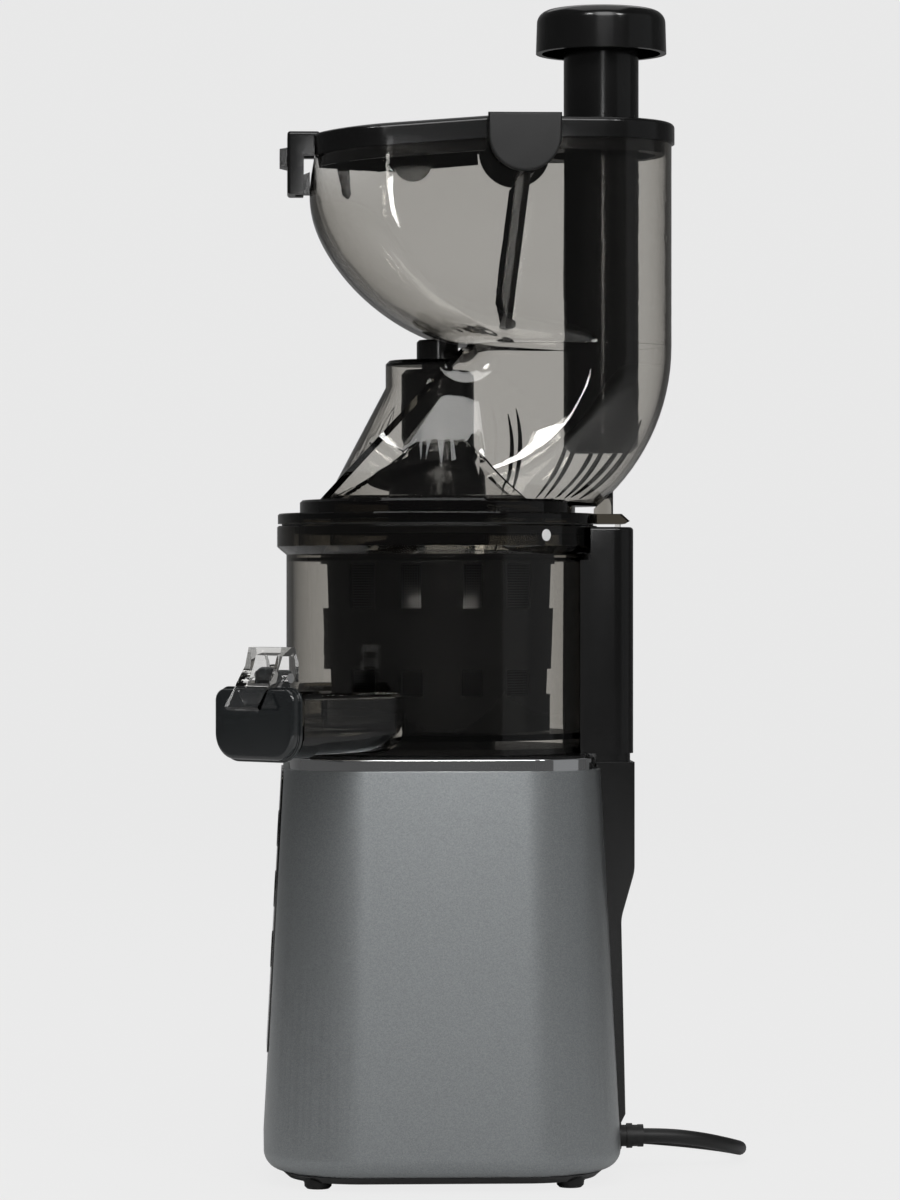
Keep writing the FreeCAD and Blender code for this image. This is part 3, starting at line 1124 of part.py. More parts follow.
def make_auger():
    """The auger: a steel insert in a moulded screw with one long flight, a gear foot and a top pin."""
    gear_low = s.brush_low_z + 1.4
    core = lathe("auger_turned", (
        ("auger_insert + fix_gap / 5", "auger_low_z"), ("auger_hub", "auger_low_z"),
        ("auger_hub", f"{gear_low}"), ("auger_hub + 4", f"{gear_low}"),
        ("auger_hub + 4", "strainer_low_z + 3.2"), ("auger_core", "strainer_low_z + 4.2"),
        ("auger_waist", "auger_waist_z"), ("auger_neck", "auger_neck_z"), ("auger_neck", "auger_shoulder_z - 2"),
        ("auger_neck - 2", "auger_shoulder_z"), ("auger_pin_radius", "auger_shoulder_z"),
        ("auger_pin_radius", "auger_pin_z - 0.5"), ("auger_pin_radius - 0.5", "auger_pin_z"),
        ("0", "auger_pin_z"), ("0", "strainer_low_z + 30"),
        ("auger_insert + fix_gap / 5", "strainer_low_z + 30"),
    ))
    envelope = lathe("flight_envelope", (
        ("0", "strainer_low_z + 2.8"), ("flight_radius", "strainer_low_z + 2.8"),
        ("flight_radius", "step_top_z - 4"), ("auger_neck + 6", "auger_neck_z - 4"),
        ("auger_neck - 1", "auger_neck_z + 8"), ("0", "auger_neck_z + 8"),
    ))
    doc.recompute()
    flight = helical_flight(s.auger_neck - 4, s.flight_radius + 3).common(envelope.Shape)
    teeth = gear(s.auger_teeth, s.brush_module, gear_low, s.brush_face - 0.6, s.auger_hub + 3, 90.0)
    screw = core.Shape.fuse(flight).fuse(teeth).removeSplitter()
    node(feature("auger_solid", screw), "auger_screw")
    insert = Part.makeCylinder(s.auger_insert, s.strainer_low_z + 30 - s.fix_gap - s.auger_low_z,
                               Vector(0, 0, s.auger_low_z))
    corner = (s.drive_flat / 2 + s.run_gap) * 2 / math.sqrt(3)
    flat = Part.makePolygon([Vector(corner * math.cos(math.radians(60 * k)),
                                    corner * math.sin(math.radians(60 * k)), 0) for k in range(7)])
    socket = Part.Face(flat).extrude(UP * (s.drive_top_z + 1 - s.auger_low_z + 2))
    socket.translate(Vector(0, 0, s.auger_low_z - 2))
    mouth = Part.makeCylinder(s.drive_radius + s.run_gap, s.hub_top_z + 2 - s.auger_low_z + 1,
                              Vector(0, 0, s.auger_low_z - 1))
    node(feature("insert", insert.cut(socket).cut(mouth)), "auger_shaft")


def plan_wire(front_y, half, corner, inset, height):
    """The plan of elbow and hopper: a round rear end, slanting sides and a front with round corners."""
    rear = s.chute_radius - inset
    front = corner - inset
    across = half - corner
    along = front_y + corner
    return belt([(-across, along, front), (across, along, front), (0, s.chute_y, rear)], height)


def elbow(inset):
    """The seam's plan turned down and forwards round the elbow's axis."""
    wire = plan_wire(s.elbow_front_y, s.elbow_half, s.elbow_corner, inset, s.seam_z)
    return Part.Face(wire).revolve(Vector(0, s.elbow_axis_y, s.seam_z), Vector(-1, 0, 0), s.elbow_turn)


def make_lid():
    """The drum's clear lid: flange, step, cone and tower for the auger, and the elbow from the chute."""
    turned = lathe("lid_turned", (
        ("lid_throat", "lid_skirt_z"), ("drum_radius - drum_wall - 2", "lid_skirt_z"),
        ("drum_radius - drum_wall - 2", "lid_low_z"), ("lid_radius", "lid_low_z"),
        ("lid_radius", "lid_step_z - 0.6"), ("lid_radius - 0.6", "lid_step_z"), ("step_radius", "lid_step_z"),
        ("step_radius", "step_top_z - 1"), ("step_radius - 1", "step_top_z"),
        ("cone_foot_radius", "step_top_z"), ("tower_radius", "cone_top_z"), ("tower_radius", "tower_top_z - 1.5"),
        ("tower_radius - 1.5", "tower_top_z"), ("tower_cap_radius - 2", "tower_top_z"),
        ("tower_cap_radius - 2", "tower_top_z - clear_wall"), ("tower_radius - clear_wall", "tower_top_z - clear_wall"),
        ("tower_radius - clear_wall", "cone_top_z"), ("lid_throat", "step_top_z"),
    ))
    doc.recompute()
    floor_z = s.step_top_z - s.clear_wall
    above = Part.makeBox(ROOM, ROOM, ROOM, Vector(-ROOM / 2, -ROOM / 2, floor_z))
    above_floor = Part.makeBox(ROOM, ROOM, ROOM, Vector(-ROOM / 2, -ROOM / 2, s.step_top_z))
    inside_cone = Part.makeCone(s.lid_throat, s.tower_radius - s.clear_wall, s.cone_top_z - s.step_top_z,
                                Vector(0, 0, s.step_top_z))
    throat = Part.makeCylinder(s.lid_throat, s.step_top_z - s.lid_skirt_z + 2, Vector(0, 0, s.lid_skirt_z - 1))
    shape = turned.Shape.fuse(elbow(0.0).common(above))
    skirt_room = Part.makeCylinder(s.drum_radius - s.drum_wall - 4, s.lid_step_z - s.clear_wall - s.lid_skirt_z,
                                   Vector(0, 0, s.lid_skirt_z))
    skirt_core = Part.makeCylinder(s.lid_throat + 2, 60, Vector(0, 0, s.lid_skirt_z - 10))
    end_wall = Part.makeBox(ROOM, ROOM, s.clear_wall, Vector(-ROOM / 2, s.elbow_axis_y - ROOM / 2, s.seam_z))
    end_wall.rotate(Vector(0, s.elbow_axis_y, s.seam_z), Vector(-1, 0, 0), s.elbow_turn)
    channel = elbow(s.clear_wall).cut(end_wall).common(above_floor)
    inside_tower = Part.makeCylinder(s.tower_radius - s.clear_wall, s.tower_top_z - s.clear_wall - s.cone_top_z,
                                     Vector(0, 0, s.cone_top_z))
    neck = Part.makeCylinder(s.tower_cap_radius - 2, s.clear_wall + 2, Vector(0, 0, s.tower_top_z - s.clear_wall - 1))
    cap_room = Part.makeCylinder(s.tower_cap_radius + s.fix_gap, s.tower_cap_z - s.tower_top_z,
                                 Vector(0, 0, s.tower_top_z))
    shape = shape.cut(channel).cut(inside_cone).cut(throat).cut(inside_tower).cut(neck).cut(cap_room)
    shape = shape.cut(skirt_room.cut(skirt_core))
    end = s.lug_end_y
    start = s.lid_radius - 6
    lug = side_plate(((start, s.lid_low_z), (end - 2, s.lid_low_z), (end, s.lid_low_z + 1.2),
                      (end - 3.5, s.lid_step_z), (start, s.lid_step_z)), s.lug_half)
    pin_low = s.column_top_z - s.pin_track_depth + s.seat_gap
    pin = Part.makeCylinder(s.pin_radius, s.lid_low_z + 1 - pin_low, Vector(0, s.pin_track_radius, pin_low))
    post = Part.makeCylinder(s.post_radius, s.post_top_z - s.lid_step_z + 1,
                             Vector(0, s.post_y + s.post_radius, s.lid_step_z - 1))
    post = post.cut(elbow(0.0))
    inside = Part.makeCylinder(s.lid_radius - 2, 60, Vector(0, 0, s.lid_low_z - 30))
    shape = shape.fuse(lug.cut(inside)).fuse(pin).fuse(post).removeSplitter()
    node(feature("lid_solid", shape), "drum_lid")
    seal = lathe("lid_seal_turned", (
        ("drum_radius - drum_wall - 2 + fix_gap", "lid_low_z - 4.5"),
        ("drum_radius - drum_wall - seat_gap", "lid_low_z - 4.5"),
        ("drum_radius - drum_wall - seat_gap", "drum_top_z + 0.2"), ("rim_radius - 2", "drum_top_z + 0.2"),
        ("rim_radius - 2", "lid_low_z - 0.2"), ("drum_radius - drum_wall - 2 + fix_gap", "lid_low_z - 0.2"),
    ))
    node(seal, "lid_seal")
    bush = lathe("bush_turned", (
        ("auger_pin_radius + run_gap", "auger_shoulder_z + seat_gap"),
        ("tower_cap_radius - 2 - fix_gap", "auger_shoulder_z + seat_gap"),
        ("tower_cap_radius - 2 - fix_gap", "tower_top_z + fix_gap"), ("tower_cap_radius", "tower_top_z + fix_gap"),
        ("tower_cap_radius", "tower_cap_z - 1"), ("tower_cap_radius - 1", "tower_cap_z"), ("0", "tower_cap_z"),
        ("0", "auger_pin_z + seat_gap"), ("auger_pin_radius + run_gap", "auger_pin_z + seat_gap"),
    ))
    doc.recompute()
    over_seam = Part.makeBox(60, 60, 30, Vector(-30, -30, s.seam_z - 1))
    above_bush = hopper_loft(-s.seat_gap, s.chute_rim_z).common(over_seam)
    node(feature("bush_solid", bush.Shape.cut(above_bush)), "tower_bush")


def belly(share):
    """Front face and height of the hopper's belly: share runs from 0 at its top to 1 at the seam."""
    reach = (1 - share ** s.belly_power) ** (1 / s.belly_power)
    height = s.hopper_belly_z - (s.hopper_belly_z - s.seam_z) * share
    front = s.elbow_front_y + (s.hopper_front_y - s.elbow_front_y) * reach
    return front, height, math.sqrt(reach)


def hopper_loft(inset, top):
    """Plans of the hopper from the seam to its rim, joined by one smooth loft."""
    wires = []
    for share in (1.0, 0.93, 0.83, 0.7, 0.53, 0.34, 0.15, 0.0):
        front, height, grown = belly(share)
        half = s.elbow_half + (s.hopper_half - s.elbow_half) * grown
        corner = s.elbow_corner + (s.hopper_corner - s.elbow_corner) * grown
        lift = 0.8 * inset if 0.0 < share < 1.0 else 0.0
        wires.append(plan_wire(front, half, corner, inset, height + lift))
    wires.append(plan_wire(s.hopper_front_y, s.hopper_half, s.hopper_corner, inset, top))
    return Part.makeLoft(wires, True, False)


def rim_height(y):
    """Height of the hopper's rim, which slopes down to the front."""
    share = (y - s.hopper_front_y) / (s.lid_rear_y - s.hopper_front_y)
    return s.rim_front_z + (s.rim_rear_z - s.rim_front_z) * share


def make_hopper():
    """The clear hopper with its chute, open above and into the elbow below."""
    outer = hopper_loft(0.0, s.chute_rim_z + 10)
    inner = hopper_loft(s.clear_wall, s.chute_rim_z + 12)
    break_y = s.lid_rear_y + s.seat_gap
    over = side_plate(((-150, rim_height(-150)), (break_y, rim_height(break_y)), (break_y, s.chute_rim_z),
                       (150, s.chute_rim_z), (150, 600), (-150, 600)), 100)
    shell = outer.cut(inner).cut(over)
    pin = lying_rod(s.hinge_pin_radius + s.fix_gap, 60, s.hinge_y, s.hinge_z)
    flap_pin = lying_rod(s.flap_barrel - 1.4 + s.run_gap, 36, s.flap_y, s.flap_z)
    shell = shell.cut(pin).cut(flap_pin)
    node(feature("hopper_solid", shell), "hopper")
    inner_x = s.hopper_half - 2.2
    for name, side in (("hinge_cover_left", 1), ("hinge_cover_right", -1)):
        cover = Part.makeCylinder(s.hinge_cover_radius, s.hinge_cover_thick, Vector(inner_x, s.hinge_y, s.hinge_z),
                                  ALONG_X)
        square = Part.makeBox(s.hinge_cover_thick, 2 * s.hinge_cover_radius, s.hinge_cover_top_z - s.hinge_z,
                              Vector(inner_x, s.hinge_y - s.hinge_cover_radius, s.hinge_z))
        roof = Part.makeBox(60, 60, 60, Vector(20, 0, s.hinge_cover_top_z))
        cover = cover.fuse(square).cut(roof).removeSplitter()
        rim = [edge for edge in cover.Edges if edge.BoundBox.XMin > inner_x + s.hinge_cover_thick - 0.01]
        cover = cover.makeFillet(1.2, rim)
        cover = cover.cut(lying_rod(s.hinge_pin_radius + s.fix_gap / 5, 1.8, s.hinge_y, s.hinge_z, inner_x))
        if side < 0:
            cover = cover.mirror(Vector(), ALONG_X)
        node(feature(name + "_solid", cover), name)
    pin = lying_rod(s.hinge_pin_radius, inner_x + 1.6, s.hinge_y, s.hinge_z)
    node(feature("hinge_pin_solid", pin), "hinge_pin")
    make_chute_cover()


def make_chute_cover():
    """The black ring on the chute, with the hole that guides the pusher."""
    low = s.chute_rim_z + s.fix_gap
    across = s.hopper_half - 7.6
    wire = belt([(-across, s.cover_front_y + 4, 4), (across, s.cover_front_y + 4, 4),
                 (0, s.chute_y, s.chute_radius + 1.3)], 0)
    wide = block_of(wire, low, s.cover_top_z)
    top = [edge for edge in wide.Edges if edge.BoundBox.ZMin > s.cover_top_z - 0.01]
    wide = wide.makeFillet(2.0, top)
    front = Part.makeBox(200, 100, 100, Vector(-100, s.cover_front_y - 100, low - 20))
    plug = block_of(belt([(3 - across, s.cover_front_y + 4, 3), (across - 3, s.cover_front_y + 4, 3),
                          (0, s.chute_y, s.chute_radius - s.clear_wall - s.fix_gap)], 0), low - 5, low + 1)
    hole = Part.makeCylinder(s.pusher_radius + 0.7, 60, Vector(0, s.pusher_y, low - 20))
    room = Part.makeCylinder(s.pusher_radius + 7, s.cover_top_z - low - 3 + 5, Vector(0, s.pusher_y, low - 5))
    cover = wide.fuse(plug).cut(front).cut(room).cut(hole)
    node(feature("chute_cover_solid", cover.removeSplitter()), "chute_cover")


def make_hopper_lid():
    """The black hopper lid: a sloping tray with a skirt, a rib, a peg and the hinge barrel."""
    run = s.lid_rear_y - s.hopper_front_y
    lean = math.degrees(math.atan2(s.rim_rear_z - s.rim_front_z, run))
    floor = s.lid_wall

    def plan(inset, low, high):
        """The hopper's plan over the lid, filled from low to high."""
        wire = plan_wire(s.hopper_front_y, s.hopper_half, s.hopper_corner, inset, 0.0)
        return block_of(wire, low, high)

    tray = plan(0.0, 0.0, s.lid_height)
    top = [edge for edge in tray.Edges if edge.BoundBox.ZMin > s.lid_height - 0.01]
    tray = tray.makeFillet(2.0, top)
    hollow = plan(floor, -1.0, s.lid_height - floor)
    inside = s.clear_wall + 1.3
    skirt = plan(inside, -5.0, s.lid_height - floor / 2).cut(plan(inside + 1.6, -6.0, s.lid_height - floor))
    tray = tray.cut(hollow)
    back = Part.makeBox(200, 200, 60, Vector(-100, s.lid_rear_y, -20))
    front = Part.makeBox(200, 100, 60, Vector(-100, s.lid_front_y - 100, -20))
    rear_wall = Part.makeBox(2 * (s.hopper_half - 6), floor, s.lid_height,
                             Vector(6 - s.hopper_half, s.lid_rear_y - floor, 0))
    notch_half = s.latch_half + 2 * s.seat_gap
    notch = Part.makeBox(2 * notch_half, 50, 60, Vector(-notch_half, s.lid_notch_y - 50, -6))
    front_wall = Part.makeBox(2 * notch_half + 2 * floor, floor, s.lid_height - 1,
                              Vector(-notch_half - floor, s.lid_notch_y, 0))
    skirt_back = Part.makeBox(200, 200, 60, Vector(-100, s.lid_rear_y - 3, -20))
    tray = tray.cut(back).cut(front).fuse(skirt.cut(skirt_back)).cut(notch).fuse(rear_wall).fuse(front_wall)
    rib = Part.makeCylinder(8.4, 2.4, Vector(-1.2, -11.0, -4.5), ALONG_X)
    rib = rib.fuse(Part.makeBox(2.4, 16.8, s.lid_height - 1 + 4.5, Vector(-1.2, -19.4, -4.5)))
    peg = side_plate(((-44.0, s.lid_height - 1), (-42.5, -17.5), (-40.5, -19.0), (-38.8, -17.5),
                      (-37.0, s.lid_height - 1)), 1.6)
    tray = tray.fuse(rib).fuse(peg)
    tray.rotate(Vector(0, s.hopper_front_y, 0), ALONG_X, lean)
    tray.translate(Vector(0, 0, s.rim_front_z + s.seat_gap))
    half = s.elbow_half - 0.5
    roof = rim_height(s.lid_rear_y) + s.seat_gap + s.lid_height
    arm = side_plate(((s.lid_rear_y - 1, roof - 4), (s.hinge_y, s.hinge_z + s.hinge_barrel - 4),
                      (s.hinge_y, s.hinge_z + s.hinge_barrel), (s.lid_rear_y - 1, roof)), half)
    barrel = lying_rod(s.hinge_barrel, half, s.hinge_y, s.hinge_z)
    bore = lying_rod(s.hinge_pin_radius + s.run_gap, 60, s.hinge_y, s.hinge_z)
    lid = tray.fuse(arm).fuse(barrel).cut(bore)
    node(feature("hopper_lid_solid", lid.removeSplitter()), "hopper_lid")


def make_flap():
    """The swinging flap between hopper and chute: a tapered plate with side ribs, a hooked foot and pins."""
    length = math.hypot(s.flap_z - s.flap_low_z, s.flap_y - s.flap_low_y)
    lean = math.degrees(math.atan2(s.flap_y - s.flap_low_y, s.flap_z - s.flap_low_z))
    corners = [Vector(-s.flap_half, 0, 0), Vector(s.flap_half, 0, 0), Vector(s.flap_low_half, 0, -length),
               Vector(-s.flap_low_half, 0, -length)]
    plate = Part.Face(Part.makePolygon(corners + corners[:1])).extrude(ALONG_Y * s.flap_thick)
    plate.translate(Vector(0, -s.flap_thick / 2, 0))
    rib_side = side_plate(((0, 0), (-s.flap_rib / 2, -6), (-s.flap_rib / 2, -length + 14), (0, -length)), 1.1)
    for side in (-1, 1):
        rib = rib_side.copy()
        rib.translate(Vector(side * (s.flap_low_half - 1.3), 0, 0))
        plate = plate.fuse(rib)
    hook = lying_rod(2.2, s.flap_low_half, 0.8, 2.2 - length)
    barrel = lying_rod(s.flap_barrel, s.flap_half, 0, 0)
    pins = lying_rod(s.flap_barrel - 1.4, s.flap_half + 2.6, 0, 0)
    flap = plate.fuse(hook).fuse(barrel).fuse(pins).removeSplitter()
    flap.rotate(Vector(), ALONG_X, -lean)
    flap.translate(Vector(0, s.flap_y, s.flap_z))
    node(feature("flap_solid", flap), "flap")


def make_latch():
    """The latch on the hopper's front: bracket, leaf spring and a lever that hooks over the lid."""
    face = s.hopper_front_y - s.fix_gap
    tongue_y = s.latch_pin_y - 2.0
    tongue = side_plate(((face, s.latch_low_z + 0.5), (tongue_y + 1, s.latch_low_z + 0.5),
                         (tongue_y, s.latch_low_z + 2.5),
                         (tongue_y, s.latch_pin_z + 4), (face, s.latch_pin_z + 6)), 4.0)
    tongue = tongue.cut(lying_rod(s.latch_pin_radius + s.run_gap, 20, s.latch_pin_y, s.latch_pin_z))
    node(feature("latch_bracket_solid", tongue), "latch_bracket")
    spring_y = tongue_y - s.fix_gap
    lean = (s.rim_rear_z - s.rim_front_z) / (s.lid_rear_y - s.hopper_front_y)
    nose_y = s.lid_notch_y - s.lid_height * lean - 2 * s.seat_gap
    spring = side_plate(((spring_y, s.latch_pin_z + 0.5), (spring_y - 0.5, s.latch_pin_z + 0.5),
                         (spring_y - 0.5, s.latch_pin_z + 12), (spring_y, s.latch_pin_z + 12)), 3.0)
    node(feature("latch_spring_solid", spring), "latch_spring")
    side = side_plate(((s.latch_out_y, s.latch_low_z), (face - 2.7, s.latch_low_z),
                       (face - 2.7, s.rim_front_z + 1.5), (s.latch_in_y, s.rim_front_z + 1.5),
                       (s.latch_in_y, s.latch_top_z - 3), (nose_y, s.latch_top_z - 3),
                       (nose_y, s.latch_top_z), (s.latch_out_y, s.latch_top_z)),
                      s.latch_half)
    outer = [edge for edge in side.Edges
             if edge.BoundBox.YMax < s.latch_out_y + 0.01 or (edge.BoundBox.ZMin > s.latch_top_z - 0.01)]
    side = side.makeFillet(1.3, outer)
    slot = side_plate(((s.latch_in_y + 1, s.latch_low_z - 1), (spring_y - 0.8, s.latch_low_z - 1),
                       (spring_y - 0.8, s.latch_pin_z + 14), (s.latch_in_y + 1, s.latch_pin_z + 14)),
                      4.0 + s.seat_gap)
    pad = side_plate(((s.latch_pad_y, 433.0), (s.latch_out_y + 1, 432.0), (s.latch_out_y + 1, 441.0),
                      (s.latch_pad_y, 440.2)), s.latch_half - 2.5)
    pin = lying_rod(s.latch_pin_radius, s.latch_half - 1, s.latch_pin_y, s.latch_pin_z)
    lever = side.cut(slot).fuse(pad).fuse(pin).removeSplitter()
    node(feature("latch_lever_solid", lever), "latch_lever")


def make_pusher():
    """The pusher: a hollow stem with a bevelled foot, and a wide cap."""
    floor_radius = s.chute_y + s.chute_radius - s.clear_wall - s.elbow_axis_y - s.seat_gap
    lows = []
    for corner, lift in ((s.pusher_radius - s.pusher_bevel, 0.0), (s.pusher_radius, s.pusher_bevel)):
        out = s.pusher_y + corner - s.elbow_axis_y
        lows.append(s.seam_z - math.sqrt(floor_radius ** 2 - out ** 2) - lift)
    low = round(max(lows), 2)
    bore = "pusher_radius - pusher_wall"
    stem = lathe("stem_turned", (
        ("0", low), ("pusher_radius - pusher_bevel", low), ("pusher_radius", f"{low} + pusher_bevel"),
        ("pusher_radius", "cap_top_z - cap_dish - cap_wall - fix_gap"),
        (bore, "cap_top_z - cap_dish - cap_wall - fix_gap"), (bore, f"{low} + 3"), ("0", f"{low} + 3"),
    ))
    bind(stem, y="pusher_y")
    node(stem, "pusher_stem")
    cap = lathe("cap_turned", (
        ("0", "cap_top_z - cap_dish"), ("0", "cap_top_z - cap_dish - cap_wall"),
        (f"{bore} - 3", "cap_top_z - cap_dish - cap_wall"), (f"{bore} - 3", "cap_low_z - 4"),
        (f"{bore} - fix_gap", "cap_low_z - 4"), (f"{bore} - fix_gap", "cap_top_z - cap_dish - cap_wall"),
        ("cap_radius - cap_wall - 2", "cap_top_z - cap_dish - cap_wall"),
        ("cap_radius - cap_wall", "cap_top_z - cap_edge"), ("cap_radius - cap_wall", "cap_low_z"),
        ("cap_radius", "cap_low_z"), ("cap_radius - 0.4", "cap_top_z - cap_edge"),
        ("cap_radius - 0.4 - cap_edge", "cap_top_z", "cap_edge"), ("cap_radius - 8", "cap_top_z"),
        ("cap_radius - 12", "cap_top_z - cap_dish"),
    ))
    bind(cap, y="pusher_y")
    node(cap, "pusher_cap")


def tube(edges, radius):
    """A round tube along edges that meet tangent to each other."""
    path = Part.Wire(edges)
    first = path.Edges[0]
    start = first.valueAt(first.FirstParameter)
    ring = Part.Wire(Part.makeCircle(radius, start, first.tangentAt(first.FirstParameter)))
    shape = path.makePipeShell([ring], True, False)
    return shape


LEAD_POINTS = (
    (0, 89, 14.8), (0.0, 100.0, 14.8), (-3.9, 115.5, 12.4), (-14.0, 127.9, 8.6), (-28.5, 134.6, 5.4),
    (-44.5, 134.6, 3.8), (-60.9, 127.0, 3.3), (-78.1, 110.4, 3.25), (-92.7, 88.8, 3.25),
    (-108.5, 73.5, 3.25), (-126.1, 66.4, 3.25), (-141.1, 66.4, 3.25),
)
ARC_SHARE = 0.45


def make_lead():
    """The free lead from the strain relief to the coil: straight runs joined by tangent arcs."""
    points = [Vector(*point) for point in LEAD_POINTS]
    points[0].y = s.relief_end_y
    points[0].z = s.relief_z
    edges = []
    at = points[0]
    tightest = 1e9
    for index in range(1, len(points) - 1):
        before, corner, after = points[index - 1:index + 2]
        come = (corner - before).normalize()
        go = (after - corner).normalize()
        turn = come.getAngle(go)
        run = min((corner - before).Length, (after - corner).Length)
        reach = ARC_SHARE * run
        radius = reach / math.tan(turn / 2)
        tightest = min(tightest, radius)
        print(f"lead point {index}: turn {math.degrees(turn):.0f} degrees, radius {radius:.0f} mm")
        start = corner - come * reach
        end = corner + go * reach
        inward = (go - come).normalize()
        middle = corner + inward * (radius / math.cos(turn / 2) - radius)
        edges.append(Part.makeLine(at, start))
        edges.append(Part.Arc(start, middle, end).toShape())
        at = end
    edges.append(Part.makeLine(at, points[-1]))
    shape = tube(edges, s.cord_diameter / 2)
    length = sum(edge.Length for edge in edges)
    section = math.pi * s.cord_diameter ** 2 / 4
    print(f"lead: {length:.0f} mm, tightest radius {tightest:.0f} mm, volume ratio {shape.Volume / (section * length):.4f}")
    node(feature("lead", shape), "cord_lead")
    return length


def coil_station(turn):
    """A point of the coil's middle line, turn by turn: the spiral runs in, climbs a layer and runs out."""
    pitch = s.cord_diameter + s.coil_gap
    half = s.coil_turns / 2
    radius = s.coil_radius - pitch * min(turn, s.coil_turns - turn)
    climb = min(max((turn - half) / 0.5 + 0.5, 0.0), 1.0)
    height = s.cord_diameter / 2 + 0.1 + pitch * climb * climb * (3 - 2 * climb)
    angle = math.pi / 2 + 2 * math.pi * turn
    return Vector(s.coil_x + radius * math.cos(angle), s.coil_y + radius * math.sin(angle), height)


def biarc(start, start_way, end, end_way):
    """Two arcs that leave start along start_way, meet smoothly and reach end along end_way."""
    span = end - start
    both = start_way + end_way
    a = 2 * (1 - start_way.dot(end_way))
    b = 2 * span.dot(both)
    c = -span.dot(span)
    reach = -c / b if abs(a) < 1e-9 else (-b + math.sqrt(b * b - 4 * a * c)) / (2 * a)
    first = start + start_way * reach
    second = end - end_way * reach
    joint = (first + second) * 0.5
    arcs = []
    for begin, knee, finish in ((start, first, joint), (joint, second, end)):
        chord_middle = (begin + finish) * 0.5
        lean = (finish - begin).Length / 2 / reach
        middle = chord_middle + (knee - chord_middle) * (lean / (1 + lean))
        arcs.append(Part.Arc(begin, middle, finish).toShape())
    return arcs


def make_coil():
    """The put-away length in a two-layer coil on the floor, with the plug at its straight end."""
    quarter = 0.25
    small = 1e-4
    steps = int(round(s.coil_turns / quarter))
    points = []
    ways = []
    for index in range(steps + 1):
        turn = index * quarter
        points.append(coil_station(turn))
        ways.append((coil_station(turn + small) - coil_station(turn - small)).normalize())
    ways[0] = Vector(-1, 0, 0)
    ways[-1] = Vector(0, -1, 0)
    lead_end = Vector(*LEAD_POINTS[-1])
    edges = [Part.makeLine(points[0] - ways[0] * s.cord_diameter, points[0])]
    for index in range(steps):
        edges.extend(biarc(points[index], ways[index], points[index + 1], ways[index + 1]))
    tail_end = points[-1] + ways[-1] * s.coil_tail
    edges.append(Part.makeLine(points[-1], tail_end))
    shape = tube(edges, s.cord_diameter / 2)
    samples = []
    travelled = 0.0
    for edge in edges:
        count = max(int(edge.Length / 2.5), 2)
        for place in edge.discretize(Number=count)[:-1]:
            samples.append((travelled + (place - edge.valueAt(edge.FirstParameter)).Length, place))
        travelled += edge.Length
    least = min((a[1] - b[1]).Length for i, a in enumerate(samples) for b in samples[i + 1:]
                if abs(a[0] - b[0]) > 6 * s.cord_diameter)
    print(f"coil: {travelled:.0f} mm, least gap to itself {least - s.cord_diameter:.2f} mm,"
          f" start {(edges[0].valueAt(edges[0].FirstParameter) - lead_end).Length:.2f} mm from the lead")
    node(feature("coil", shape), "cord_coil")
    gap = s.fix_gap / 2
    half_width, half_height = s.plug_width / 2, s.plug_height / 2
    start_y = tail_end.y - gap
    neck = Part.makeCone(s.cord_diameter / 2 + 1.2, half_height * 0.62, s.plug_length * 0.4,
                         Vector(tail_end.x, start_y, tail_end.z), Vector(0, -1, 0))
    block = block_of(belt([(half_width - 5, -half_height + 5, 5), (half_width - 5, half_height - 5, 5),
                           (5 - half_width, half_height - 5, 5), (5 - half_width, 5 - half_height, 5)], 0),
                     0.0, s.plug_length * 0.62)
    block.rotate(Vector(), ALONG_X, 90)
    block.translate(Vector(tail_end.x, start_y - s.plug_length * 0.38, tail_end.z))
    body = block.fuse(neck).removeSplitter()
    face_y = start_y - s.plug_length
    blades = []
    for side in (-1, 1):
        blade = Part.makeBox(1.5, s.blade_length + 8, 6.3,
                             Vector(tail_end.x + side * 6.35 - 0.75, face_y - s.blade_length, tail_end.z - 3.15))
        blades.append(blade)
        body = body.cut(Part.makeBox(1.6, 8.1, 6.4, Vector(tail_end.x + side * 6.35 - 0.8, face_y - 0.05,
                                                           tail_end.z - 3.2)))
    node(feature("plug", body), "plug_body")
    node(feature("blades", Part.makeCompound(blades)), "plug_blades")
    return travelled


def make_relief():
    """The ribbed strain relief that carries the lead out of the housing's foot."""
    inner_y = s.housing_centre_y + s.housing_foot_half - 12
    wall_y = s.housing_centre_y + s.housing_foot_half
    relief = Part.makeCylinder(s.relief_radius - 1.2, s.relief_end_y - inner_y, Vector(0, inner_y, 0), ALONG_Y)
    start = wall_y + s.fix_gap
    share = (s.relief_end_y - start) / 5
    for index in (0, 2, 4):
        rib_radius = s.relief_radius - 0.25 * index
        rib = Part.makeCylinder(rib_radius, share, Vector(0, start + index * share, 0), ALONG_Y)
        relief = relief.fuse(rib)
    stop = Part.makeCylinder(s.relief_radius - 0.6, 2.5, Vector(0, inner_y, 0), ALONG_Y)
    relief = relief.fuse(stop).removeSplitter()
    relief.translate(Vector(0, 0, s.relief_z))
    node(feature("relief", relief), "strain_relief")


def write_nodes():
    """Checks every object of the document, then writes one STEP file for each sub-part."""
    doc.recompute()
    for item in doc.Objects:
        if "Invalid" in item.State or "Error" in item.State:
            raise RuntimeError(f"{item.Label}: {item.State}")
    for item in NODES:
        if item.Shape.isNull() or not item.Shape.isValid() or item.Shape.Volume <= 0:
            raise RuntimeError(f"{item.Label}: its shape is not valid")
    os.makedirs("parts", exist_ok=True)
    for item in NODES:
        item.Shape.exportStep(f"parts/{item.Label}.step")
    print(f"{len(NODES)} sub-parts")


